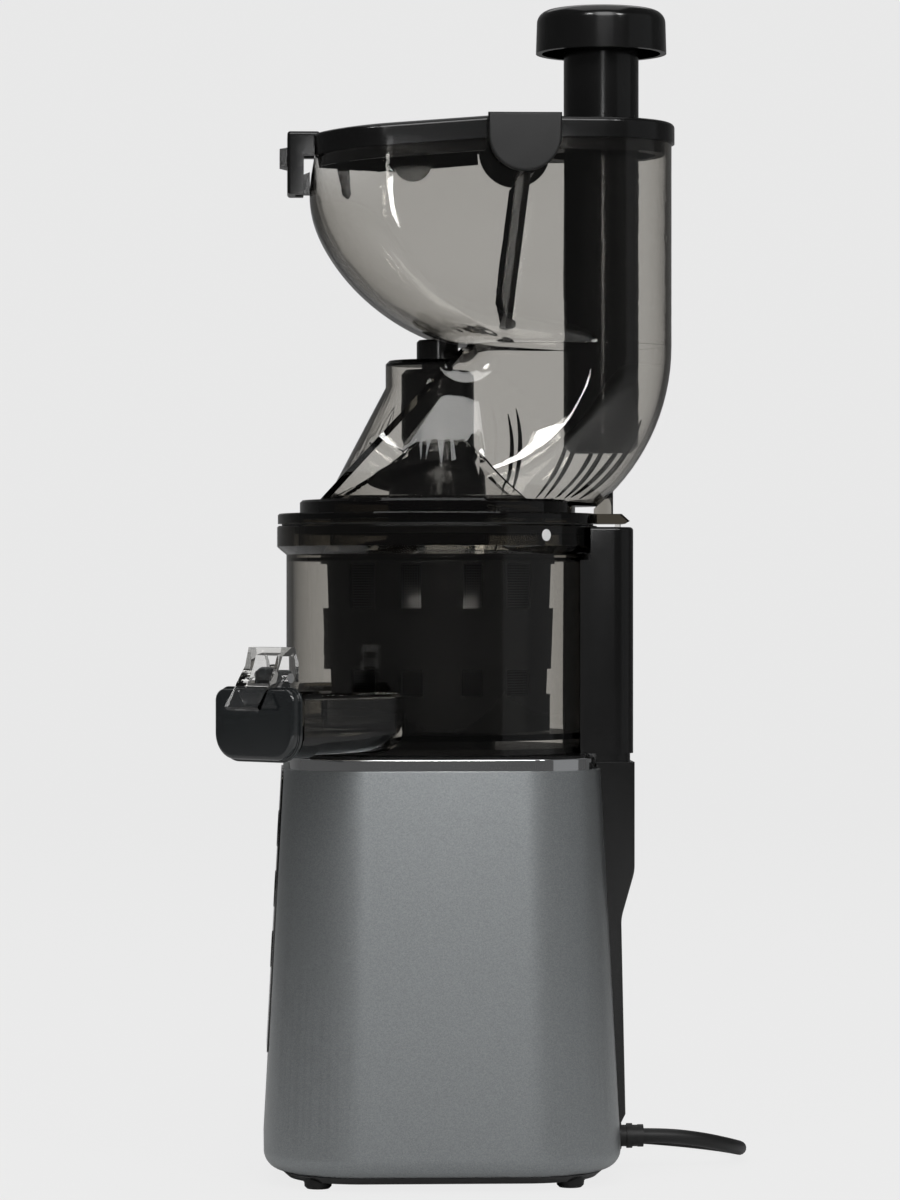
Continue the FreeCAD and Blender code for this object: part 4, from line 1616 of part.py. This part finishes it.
make_housing(make_panel())
make_deck()
make_base_plate()
make_rear()
make_drive()
make_drum()
make_cap()
make_strainer()
make_auger()
make_lid()
make_hopper()
make_hopper_lid()
make_flap()
make_latch()
make_pusher()
make_relief()
lead_length = make_lead()
coil_length = make_coil()
print(f"cord: {lead_length + coil_length:.0f} mm in all")
write_nodes()
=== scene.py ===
import json
import math

import bmesh
import bpy
import numpy as np
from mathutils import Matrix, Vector


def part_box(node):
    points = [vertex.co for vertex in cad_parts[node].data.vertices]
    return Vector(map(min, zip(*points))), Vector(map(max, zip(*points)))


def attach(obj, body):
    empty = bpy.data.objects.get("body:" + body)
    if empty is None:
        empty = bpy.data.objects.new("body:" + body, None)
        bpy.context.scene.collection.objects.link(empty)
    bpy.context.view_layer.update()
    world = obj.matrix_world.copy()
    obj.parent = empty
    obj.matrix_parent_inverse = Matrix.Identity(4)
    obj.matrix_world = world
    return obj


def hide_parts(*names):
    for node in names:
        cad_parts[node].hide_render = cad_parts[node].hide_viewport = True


# The finish of a cold press juicer, its light and its camera. Metres, +Z up,
# the auger turns on the Z axis, the control panel faces -Y, and the
# photograph looks from the +X side.

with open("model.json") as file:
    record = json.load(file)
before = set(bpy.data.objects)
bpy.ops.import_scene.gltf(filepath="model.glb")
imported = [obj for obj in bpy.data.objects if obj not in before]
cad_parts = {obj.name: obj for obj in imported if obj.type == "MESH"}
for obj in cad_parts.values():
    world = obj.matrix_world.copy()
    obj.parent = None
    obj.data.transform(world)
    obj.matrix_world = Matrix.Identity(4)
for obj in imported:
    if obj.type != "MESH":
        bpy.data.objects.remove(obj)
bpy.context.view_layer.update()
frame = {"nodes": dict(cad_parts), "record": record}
MM = 0.001
BODY_OF = {node: body for body, nodes in frame["record"]["behaviour"]["bodies"].items() for node in nodes}


# Materials

def node_adder(tree):
    """A helper that adds a node to a tree, sets it, and sets or links its sockets."""
    def add(kind, inputs=None, **settings):
        item = tree.nodes.new(kind)
        for key, value in settings.items():
            setattr(item, key, value)
        for key, value in (inputs or {}).items():
            socket = item.inputs[key]
            if isinstance(value, bpy.types.NodeSocket):
                tree.links.new(value, socket)
            else:
                socket.default_value = value
        return item

    return add


def new_material(name):
    """An empty node material, the helper that adds its nodes, its output and its tree."""
    material = bpy.data.materials.new(name)
    material.use_nodes = True
    tree = material.node_tree
    tree.nodes.clear()
    return material, node_adder(tree), tree.nodes.new("ShaderNodeOutputMaterial"), tree


def grey(level):
    return (level, level, level, 1.0)


def seen_straight(add):
    """1 for the camera's own rays and those that only passed through clear plastic, else 0."""
    path = add("ShaderNodeLightPath")
    through = add("ShaderNodeMath", {0: path.outputs["Is Camera Ray"],
                                     1: path.outputs["Is Transmission Ray"]}, operation="MAXIMUM")
    bounces = add("ShaderNodeMath", {0: path.outputs["Diffuse Depth"], 1: path.outputs["Glossy Depth"]},
                  operation="ADD")
    direct = add("ShaderNodeMath", {0: bounces.outputs["Value"], 1: 0.5}, operation="LESS_THAN")
    return add("ShaderNodeMath", {0: through.outputs["Value"], 1: direct.outputs["Value"]},
               operation="MULTIPLY").outputs["Value"]


def grain(add, scale, strength, distance):
    """Fine moulded or sprayed texture: noise in object space as a bump."""
    place = add("ShaderNodeTexCoord")
    noise = add("ShaderNodeTexNoise", {"Vector": place.outputs["Object"], "Scale": scale, "Detail": 3.0,
                                       "Roughness": 0.6})
    return add("ShaderNodeBump", {"Height": noise.outputs["Fac"], "Strength": strength, "Distance": distance})


def mottle(add, scale, low, high):
    """A slow change between two near colours over the surface."""
    place = add("ShaderNodeTexCoord")
    noise = add("ShaderNodeTexNoise", {"Vector": place.outputs["Object"], "Scale": scale, "Detail": 2.0})
    ramp = add("ShaderNodeValToRGB", {"Fac": noise.outputs["Fac"]})
    ramp.color_ramp.elements[0].position = 0.35
    ramp.color_ramp.elements[0].color = low
    ramp.color_ramp.elements[1].position = 0.65
    ramp.color_ramp.elements[1].color = high
    return ramp.outputs["Color"]


def plastic(name, low, high, roughness, grain_scale=1800.0, grain_strength=0.08, coat=0.0):
    """Moulded plastic or rubber: two near colours, a fine texture and an even gloss."""
    material, add, output, tree = new_material(name)
    bump = grain(add, grain_scale, grain_strength, 0.0002)
    shader = add("ShaderNodeBsdfPrincipled", {
        "Base Color": mottle(add, 30.0, low, high), "Roughness": roughness, "Normal": bump.outputs["Normal"],
        "Coat Weight": coat, "Coat Roughness": 0.06,
    })
    tree.links.new(shader.outputs["BSDF"], output.inputs["Surface"])
    return material


def paint():
    """Silver-grey metallic paint: fine flakes under a soft clear coat."""
    material, add, output, tree = new_material("silver_paint")
    place = add("ShaderNodeTexCoord")
    flakes = add("ShaderNodeTexVoronoi", {"Vector": place.outputs["Object"], "Scale": 2600.0})
    ramp = add("ShaderNodeValToRGB", {"Fac": flakes.outputs["Color"]})
    ramp.color_ramp.elements[0].color = (0.27, 0.285, 0.292, 1.0)
    ramp.color_ramp.elements[1].color = (0.37, 0.388, 0.396, 1.0)
    bump = grain(add, 900.0, 0.04, 0.0002)
    shader = add("ShaderNodeBsdfPrincipled", {
        "Base Color": ramp.outputs["Color"], "Metallic": 0.92, "Roughness": 0.36,
        "Normal": bump.outputs["Normal"], "Coat Weight": 0.15, "Coat Roughness": 0.2,
    })
    tree.links.new(shader.outputs["BSDF"], output.inputs["Surface"])
    return material


def metal(name, colour, roughness, brush=0.0):
    """Bare metal, polished or brushed: streaks change its roughness a little."""
    material, add, output, tree = new_material(name)
    place = add("ShaderNodeTexCoord")
    stretch = add("ShaderNodeMapping", {"Vector": place.outputs["Object"], "Scale": (1.0, 1.0, 40.0)})
    noise = add("ShaderNodeTexNoise", {"Vector": stretch.outputs["Vector"], "Scale": 90.0, "Detail": 3.0})
    spread = add("ShaderNodeMapRange", {"Value": noise.outputs["Fac"], "To Min": max(roughness - brush, 0.02),
                                        "To Max": roughness + brush})
    shader = add("ShaderNodeBsdfPrincipled", {"Base Color": colour, "Metallic": 1.0,
                                              "Roughness": spread.outputs["Result"]})
    tree.links.new(shader.outputs["BSDF"], output.inputs["Surface"])
    return material


def clear(name, tint, density, see_through):
    """Clear moulding: it refracts, darkens with the depth of plastic looked through, and lets light
    pass in place of a full shadow."""
    material, add, output, tree = new_material(name)
    bump = grain(add, 45.0, 0.03, 0.0003)
    shader = add("ShaderNodeBsdfPrincipled", {
        "Base Color": grey(1.0), "Roughness": 0.0, "IOR": 1.49, "Transmission Weight": 1.0,
        "Normal": bump.outputs["Normal"],
    })
    depth = add("ShaderNodeVolumeAbsorption", {"Color": tint, "Density": density})
    tree.links.new(depth.outputs["Volume"], output.inputs["Volume"])
    shadow = add("ShaderNodeBsdfTransparent", {"Color": see_through})
    path = add("ShaderNodeLightPath")
    mix = add("ShaderNodeMixShader", {0: path.outputs["Is Shadow Ray"], 1: shader.outputs["BSDF"],
                                      2: shadow.outputs["BSDF"]})
    tree.links.new(mix.outputs["Shader"], output.inputs["Surface"])
    return material


def perforated(name):
    """Thin steel with rows of small holes, which the piece's own UV map in millimetres spaces."""
    material, add, output, tree = new_material(name)
    place = add("ShaderNodeUVMap")
    dots = add("ShaderNodeTexVoronoi", {"Vector": place.outputs["UV"], "Scale": 0.9, "Randomness": 0.0},
               voronoi_dimensions="2D")
    hole = add("ShaderNodeMath", {0: dots.outputs["Distance"], 1: 0.3}, operation="LESS_THAN")
    colour = add("ShaderNodeMix", {"Factor": hole.outputs["Value"], "A": (0.14, 0.14, 0.145, 1.0),
                                   "B": (0.02, 0.02, 0.02, 1.0)}, data_type="RGBA")
    shader = add("ShaderNodeBsdfPrincipled", {"Base Color": colour.outputs["Result"], "Metallic": 0.8,
                                              "Roughness": 0.35})
    tree.links.new(shader.outputs["BSDF"], output.inputs["Surface"])
    return material


PAINT = paint()
CHROME = metal("bright_chrome", (0.86, 0.87, 0.88, 1.0), 0.06)
STEEL = metal("brushed_steel", (0.6, 0.6, 0.6, 1.0), 0.3, 0.08)
BRASS = metal("brass", (0.78, 0.62, 0.3, 1.0), 0.25, 0.05)
BLACK = plastic("black_plastic", grey(0.0035), grey(0.0055), 0.16)
GLOSS = plastic("gloss_black", grey(0.003), grey(0.004), 0.07, coat=0.6)
RESIN = plastic("dark_resin", grey(0.0025), grey(0.004), 0.2)
RUBBER = plastic("black_rubber", grey(0.006), grey(0.009), 0.5, 700.0, 0.15)
SILICONE = plastic("silicone", grey(0.03), grey(0.04), 0.45)
NYLON = plastic("nylon", (0.75, 0.73, 0.66, 1.0), (0.7, 0.68, 0.6, 1.0), 0.4)
BOARD = plastic("circuit_board", (0.02, 0.12, 0.05, 1.0), (0.03, 0.15, 0.06, 1.0), 0.35)
WINDINGS = plastic("varnished_core", (0.2, 0.1, 0.05, 1.0), (0.16, 0.08, 0.04, 1.0), 0.4)
CLEAR = clear("clear_plastic", (0.62, 0.61, 0.58, 1.0), 60.0, grey(0.8))
SMOKE = clear("smoke_clear", (0.34, 0.31, 0.25, 1.0), 235.0, grey(0.5))
DARK_SMOKE = plastic("dark_smoke", (0.012, 0.014, 0.015, 1.0), (0.016, 0.018, 0.019, 1.0), 0.08, coat=0.5)
MESH = perforated("perforated_steel")
WHITE = plastic("white_print", grey(0.8), grey(0.78), 0.4)

# The finish of each node that keeps its own shape.
FINISHES = {
    "housing_shell": PAINT, "chrome_ring": CHROME, "top_deck": BLACK, "base_plate": BLACK,
    "rubber_feet": RUBBER, "base_screws": STEEL, "rear_spine": BLACK, "rear_column": BLACK,
    "interlock_switch": RESIN, "front_panel": GLOSS, "reverse_button": RESIN, "stop_button": RESIN,
    "start_button": RESIN, "motor_can": STEEL, "motor_rotor": WINDINGS, "cooling_fan": RESIN,
    "motor_pinion": STEEL, "reduction_gear": NYLON, "gear_axle": STEEL, "drive_gear": NYLON,
    "gearbox_case": RESIN, "output_bearing": STEEL, "control_board": BOARD, "drive_shaft": STEEL,
    "shaft_seal": RUBBER, "drum": SMOKE, "drum_base": BLACK, "drum_seal": SILICONE,
    "cap_seal": SILICONE, "cap_door": DARK_SMOKE, "cap_lever": CLEAR, "cap_pin": STEEL,
    "cap_bracket": DARK_SMOKE, "strainer_frame": RESIN, "brush_frame": RESIN, "brush_wipers": SILICONE,
    "brush_pinion": RESIN, "auger_screw": RESIN, "auger_shaft": STEEL, "lid_seal": SILICONE,
    "drum_lid": SMOKE, "tower_bush": BLACK, "hopper": SMOKE, "chute_cover": BLACK,
    "hinge_cover_left": RUBBER, "hinge_cover_right": RUBBER, "hinge_pin": STEEL, "latch_bracket": BLACK,
    "latch_lever": BLACK, "latch_spring": STEEL, "hopper_lid": BLACK, "flap": BLACK,
    "pusher_stem": BLACK, "pusher_cap": BLACK, "strain_relief": RUBBER, "plug_body": RUBBER,
    "plug_blades": BRASS,
}


# Pieces

# Metres and radians, for the nodes that keep their own shape.
WELD = 2e-6
FLAT_ANGLE = math.radians(0.5)
CREASE = math.radians(35.0)
BEVEL_ANGLE = math.radians(40.0)
EDGE_ROUNDS = {"latch_lever": 0.0004, "rear_column": 0.0005, "rear_spine": 0.0006, "cap_door": 0.0004}


def settle(piece, body, material, *nodes):
    """A finished piece: its material, the body it rides on and the nodes it stands for."""
    piece.data.materials.clear()
    piece.data.materials.append(material)
    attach(piece, body)
    if nodes:
        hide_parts(*nodes)
    return piece


def smoothed(node, edge_round):
    """A node's own shape with its points merged and flat regions joined, shaded smooth up to the crease
    angle, with its edges rounded where edge_round is above zero."""
    source = frame["nodes"][node]
    mesh = source.data.copy()
    mesh.name = node + "_surface"
    work = bmesh.new()
    work.from_mesh(mesh)
    bmesh.ops.remove_doubles(work, verts=work.verts, dist=WELD)
    bmesh.ops.dissolve_limit(work, angle_limit=FLAT_ANGLE, verts=work.verts, edges=work.edges)
    for face in work.faces:
        face.smooth = True
    for edge in work.edges:
        edge.smooth = len(edge.link_faces) == 2 and edge.calc_face_angle(0.0) < CREASE
    work.to_mesh(mesh)
    work.free()
    piece = bpy.data.objects.new(node + "_piece", mesh)
    bpy.context.scene.collection.objects.link(piece)
    if edge_round > 0:
        bevel = piece.modifiers.new("edges", "BEVEL")
        bevel.width = edge_round
        bevel.segments = 2
        bevel.limit_method = "ANGLE"
        bevel.angle_limit = BEVEL_ANGLE
        bevel.harden_normals = True
    return settle(piece, BODY_OF[node], FINISHES[node], node)


def surface(name, points, closed_u=False, uv_scale=None):
    """A mesh from a grid of points (rows, columns, 3), joined into quads row by row. closed_u joins the
    last column to the first, and uv_scale is the width and height that the UV map gives the grid."""
    rows, columns = points.shape[:2]
    index = np.arange(rows * columns).reshape(rows, columns)
    if closed_u:
        index = np.concatenate([index, index[:, :1]], axis=1)
    quads = np.stack([index[:-1, :-1], index[:-1, 1:], index[1:, 1:], index[1:, :-1]], axis=-1).reshape(-1, 4)
    mesh = bpy.data.meshes.new(name)
    mesh.from_pydata(points.reshape(-1, 3).tolist(), [], quads.tolist())
    mesh.update()
    mesh.shade_smooth()
    piece = bpy.data.objects.new(name, mesh)
    bpy.context.scene.collection.objects.link(piece)
    if uv_scale is not None:
        across, along = np.meshgrid(np.linspace(0, uv_scale[0], index.shape[1]),
                                    np.linspace(0, uv_scale[1], index.shape[0]))
        flat = np.stack([across, along], axis=-1)
        cells = np.stack([flat[:-1, :-1], flat[:-1, 1:], flat[1:, 1:], flat[1:, :-1]], axis=2)
        layer = mesh.uv_layers.new(name="UVMap")
        layer.data.foreach_set("uv", cells.reshape(-1))
    return piece


def turned(name, profile, uv_scale, steps=96):
    """A profile of (radius, height) in millimetres turned round the Z axis: each point runs through
    (radius cos angle, radius sin angle, height)."""
    profile = np.asarray(profile, dtype=float)
    angle = np.linspace(0, 2 * np.pi, steps, endpoint=False)
    radius, height = profile[:, :1], profile[:, 1:]
    points = np.stack([radius * np.cos(angle), radius * np.sin(angle),
                       np.repeat(height, steps, axis=1)], axis=-1)
    return surface(name, points * MM, closed_u=True, uv_scale=uv_scale)


def make_pieces():
    """Every node with a finish of its own, smoothed, and some with small round edges."""
    for node in frame["nodes"]:
        if node in FINISHES:
            smoothed(node, EDGE_ROUNDS.get(node, 0.0))


def make_mesh_tube():
    """The strainer's perforated steel, a plain tube whose holes are in its finish. Its UV map is in
    millimetres: the way round the outside across, and the height up."""
    low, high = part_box("strainer_mesh")
    bottom, top = low[2] / MM, high[2] / MM
    inner, outer = 42.6, 43.1
    profile = [(inner, bottom), (outer, bottom), (outer, top), (inner, top), (inner, bottom)]
    piece = turned("mesh_tube", profile, (2 * math.pi * outer, 1.0))
    mesh = piece.data
    places = np.empty(len(mesh.vertices) * 3)
    mesh.vertices.foreach_get("co", places)
    corners = np.empty(len(mesh.loops), dtype=np.int32)
    mesh.loops.foreach_get("vertex_index", corners)
    uv = mesh.uv_layers["UVMap"].data
    values = np.empty(len(uv) * 2)
    uv.foreach_get("uv", values)
    values[1::2] = places[2::3][corners] / MM
    uv.foreach_set("uv", values)
    settle(piece, "bowl", MESH, "strainer_mesh")


def make_mark():
    """The white alignment dot on the drum's rim, a round patch bent to the rim: a point at distance r
    and turn t from its middle lies r cos t further round the rim and r sin t higher."""
    rim, angle, height, radius = 69.25, math.radians(39.0), 273.9, 2.5
    ring = np.linspace(0.0, 1.0, 8)[:, None] * radius
    turn = np.linspace(0, 2 * np.pi, 40, endpoint=False)[None, :]
    across = ring * np.cos(turn) / rim + angle
    points = np.stack([rim * np.cos(across), rim * np.sin(across), height + ring * np.sin(turn)], axis=-1)
    piece = surface("alignment_dot", points * MM, closed_u=True)
    solid = piece.modifiers.new("thickness", "SOLIDIFY")
    solid.thickness = 0.0001
    settle(piece, "bowl", WHITE)


# Each rib's top, middle and foot as (Y, Z), and the elbow's inner wall, in millimetres.
RIBS = (((32.2, 328.0), (36.5, 310.0), (30.0, 291.5)), ((60.2, 325.0), (57.5, 305.0), (44.3, 290.5)),
        ((73.2, 322.9), (68.5, 303.0), (52.9, 290.5)), ((85.7, 324.2), (79.0, 303.0), (59.4, 290.5)))
RIB_HALF = 0.95
RIB_PROUD = 0.8
RIB_SINK = 0.9
BEND_Y, BEND_Z = 11.0, 356.0
FRONT_REACH, FRONT_ROUND, FRONT_HALF = 30.2, 15.5, 13.5
REAR_REACH, REAR_ROUND = 67.0, 31.7
SIDE_HALF, SIDE_SPREAD = 29.0, 2.7


def elbow_half_width(path):
    """Half the elbow's inner width at points (Y, Z). It depends on the distance from the middle of the bend:
    a round front wall, side walls that spread evenly, and a round rear wall."""
    reach = np.hypot(path[:, 0] - BEND_Y, path[:, 1] - BEND_Z) + BEND_Y
    past_front = np.minimum(reach - FRONT_REACH, 0.0)
    past_rear = np.maximum(reach - REAR_REACH, 0.0)
    front = FRONT_HALF + np.sqrt(np.clip(FRONT_ROUND ** 2 - past_front ** 2, 0.0, None))
    rear = np.sqrt(np.clip(REAR_ROUND ** 2 - past_rear ** 2, 0.0, None))
    side = SIDE_HALF + SIDE_SPREAD * (reach - FRONT_REACH) / (REAR_REACH - FRONT_REACH)
    return np.where(reach < FRONT_REACH, front, np.where(reach > REAR_REACH, rear, side))


def make_ribs():
    """Slender guide ribs inside both side walls of the elbow: a lens section, thickest at mid length,
    carried along a curve (1-t)^2 A + 2 t (1-t) B + t^2 C in (Y, Z), with X from the wall's plan."""
    along = np.linspace(0.0, 1.0, 48)[:, None]
    turn = np.linspace(0.0, 2.0 * np.pi, 14, endpoint=False)
    swell = np.sin(np.pi * np.linspace(0.03, 0.97, 48)) ** 0.7
    for number, (top, middle, foot) in enumerate(RIBS):
        path = (1 - along) ** 2 * np.array(top) + 2 * along * (1 - along) * np.array(middle) \
            + along ** 2 * np.array(foot)
        slope = np.gradient(path, axis=0)
        slope /= np.linalg.norm(slope, axis=1, keepdims=True)
        wall = elbow_half_width(path)
        for side in (-1.0, 1.0):
            y = path[:, :1] - slope[:, 1:] * RIB_HALF * swell[:, None] * np.cos(turn)
            z = path[:, 1:] + slope[:, :1] * RIB_HALF * swell[:, None] * np.cos(turn)
            x = side * (wall[:, None] - RIB_SINK + RIB_PROUD * swell[:, None] * np.sin(turn))
            piece = surface(f"elbow_rib_{number}", np.stack([x, y, z], axis=-1)[:, ::int(-side)] * MM,
                            closed_u=True)
            settle(piece, "lid", DARK_SMOKE)


# The lead's control points and the coil, in millimetres, the same as the CAD's.
LEAD_POINTS = (
    (0, 89, 14.8), (0.0, 100.0, 14.8), (-3.9, 115.5, 12.4), (-14.0, 127.9, 8.6), (-28.5, 134.6, 5.4),
    (-44.5, 134.6, 3.8), (-60.9, 127.0, 3.3), (-78.1, 110.4, 3.25), (-92.7, 88.8, 3.25),
    (-108.5, 73.5, 3.25), (-126.1, 66.4, 3.25), (-141.1, 66.4, 3.25),
)
CORD = 6.3
CORD_GAP = 0.6
COIL_MIDDLE = (-147.4, 23.9)
COIL_RADIUS = 42.5
COIL_TURNS = 5.25
CLIMB_TURNS = 0.5
FLOOR_GAP = 0.1


def coil_points():
    """The coil's middle line: a spiral in at an even rate, a climb of one layer, and the spiral out again."""
    pitch = CORD + CORD_GAP
    turn = np.linspace(0.0, COIL_TURNS, int(COIL_TURNS * 16) + 1)
    inwards = COIL_RADIUS - pitch * np.minimum(turn, COIL_TURNS - turn)
    climb = np.clip((turn - COIL_TURNS / 2) / CLIMB_TURNS + 0.5, 0.0, 1.0)
    height = CORD / 2 + FLOOR_GAP + pitch * climb * climb * (3 - 2 * climb)
    angle = np.pi / 2 + 2 * np.pi * turn
    return np.stack([COIL_MIDDLE[0] + inwards * np.cos(angle),
                     COIL_MIDDLE[1] + inwards * np.sin(angle), height], axis=-1)


def make_cord():
    """The mains lead from the strain relief to the plug, on one smooth line."""
    lead = np.array(LEAD_POINTS)
    coil = coil_points()
    tail = coil[-1] - np.array([0.0, 1.0, 0.0]) * np.array([14.0, 28.0, 42.0])[:, None]
    route = np.concatenate([lead[:-1], coil, tail]) * MM
    curve = bpy.data.curves.new("mains_lead", "CURVE")
    curve.dimensions = "3D"
    spline = curve.splines.new("NURBS")
    spline.points.add(len(route) - 1)
    spline.points.foreach_set("co", np.concatenate([route, np.ones((len(route), 1))], axis=1).reshape(-1))
    spline.order_u = 3
    spline.use_endpoint_u = True
    spline.resolution_u = 6
    curve.bevel_depth = CORD / 2 * MM
    curve.bevel_resolution = 6
    curve.use_fill_caps = True
    piece = bpy.data.objects.new("mains_lead", curve)
    bpy.context.scene.collection.objects.link(piece)
    settle(piece, "base", RUBBER, "cord_lead", "cord_coil")


# Light, floor and camera

def make_stage():
    """A pale floor from near to far, which runs up a quarter circle into a backdrop behind the juicer."""
    near, far, bend, top, half = 6.0, -3.0, 1.5, 8.0, 7.0
    under = 0.0002
    quarter = np.linspace(0, np.pi / 2, 24)
    run = np.concatenate([np.linspace(near, far, 40), far - bend * np.sin(quarter), np.full(10, far - bend)])
    rise = np.concatenate([np.zeros(40), bend - bend * np.cos(quarter), np.linspace(bend + 0.1, top, 10)])
    across = np.linspace(-half, half, 12)
    points = np.stack([np.repeat(run[:, None], 12, axis=1), np.repeat(across[None, :], len(run), axis=0),
                       np.repeat(rise[:, None] - under, 12, axis=1)], axis=-1)
    floor = surface("pale_floor", points)
    material, add, output, tree = new_material("pale_floor")
    glow = add("ShaderNodeEmission", {"Color": grey(0.86), "Strength": 1.0})
    matt = add("ShaderNodeBsdfDiffuse", {"Color": grey(0.8)})
    share = add("ShaderNodeMath", {0: seen_straight(add), 1: 0.93}, operation="MULTIPLY")
    mix = add("ShaderNodeMixShader", {0: share.outputs["Value"], 1: matt.outputs["BSDF"],
                                      2: glow.outputs["Emission"]})
    tree.links.new(mix.outputs["Shader"], output.inputs["Surface"])
    floor.data.materials.append(material)


def lamp(name, place, target, size, power, colour=(1.0, 1.0, 1.0)):
    """A rectangular softbox at place that faces target."""
    data = bpy.data.lights.new(name, "AREA")
    data.shape = "RECTANGLE"
    data.size, data.size_y = size
    data.energy = power
    data.color = colour
    item = bpy.data.objects.new(name, data)
    item.location = place
    item.rotation_euler = (Vector(target) - Vector(place)).to_track_quat("-Z", "Y").to_euler()
    bpy.context.scene.collection.objects.link(item)


MIDDLE = (0.0, 0.0, 0.25)


def around(azimuth, lift, distance):
    """A place seen from the middle at an azimuth from +X towards +Y and an angle above the level."""
    turn, up = math.radians(azimuth), math.radians(lift)
    level = distance * math.cos(up)
    return (MIDDLE[0] + level * math.cos(turn), MIDDLE[1] + level * math.sin(turn),
            MIDDLE[2] + distance * math.sin(up))


def make_light():
    """A wide box over the camera, a dim panel on the right, small bright boxes, and a dim surround."""
    lamp("camera_box", around(4, 33, 2.6), MIDDLE, (1.3, 1.2), 24.0)
    lamp("right_panel", around(72, 6, 2.4), MIDDLE, (2.2, 2.6), 2.6, (0.96, 0.98, 1.0))
    lamp("key_left", around(-24, 34, 2.0), MIDDLE, (0.26, 0.26), 5.0)
    lamp("key_right", around(32, 30, 2.0), MIDDLE, (0.24, 0.3), 4.5)
    lamp("front_spot_top", around(2.5, 8.0, 2.3), MIDDLE, (0.2, 0.12), 1.6)
    lamp("rear_box", around(180, 50, 2.2), MIDDLE, (1.6, 1.0), 5.0)
    lamp("top_box", (0.0, 0.0, 2.0), (0, 0, 0.3), (1.4, 1.4), 6.0)
    world = bpy.data.worlds.new("surround")
    bpy.context.scene.world = world
    world.use_nodes = True
    tree = world.node_tree
    ground = tree.nodes["Background"]
    ground.inputs["Color"].default_value = grey(0.83)
    add = node_adder(tree)
    level = add("ShaderNodeMapRange", {"Value": seen_straight(add), "To Min": 0.1})
    tree.links.new(level.outputs["Result"], ground.inputs["Strength"])


def make_camera():
    """The photograph's view: level, from the +X side and a little towards the front."""
    aim = Vector((0.0, 0.0054, 0.2465))
    yaw, distance, height = math.radians(2.5), 1.90, 0.2507
    data = bpy.data.cameras.new("camera")
    data.sensor_fit = "VERTICAL"
    data.sensor_height = 36.0
    data.lens = 132.0
    data.clip_end = 50.0
    item = bpy.data.objects.new("camera", data)
    item.location = (distance * math.cos(yaw), aim.y - distance * math.sin(yaw), height)
    item.rotation_euler = (aim - item.location).to_track_quat("-Z", "Y").to_euler()
    bpy.context.scene.collection.objects.link(item)
    bpy.context.scene.camera = item


make_camera()
make_stage()
make_light()
make_pieces()
make_mesh_tube()
make_mark()
make_ribs()
make_cord()
bpy.context.scene.view_settings.view_transform = "Standard"
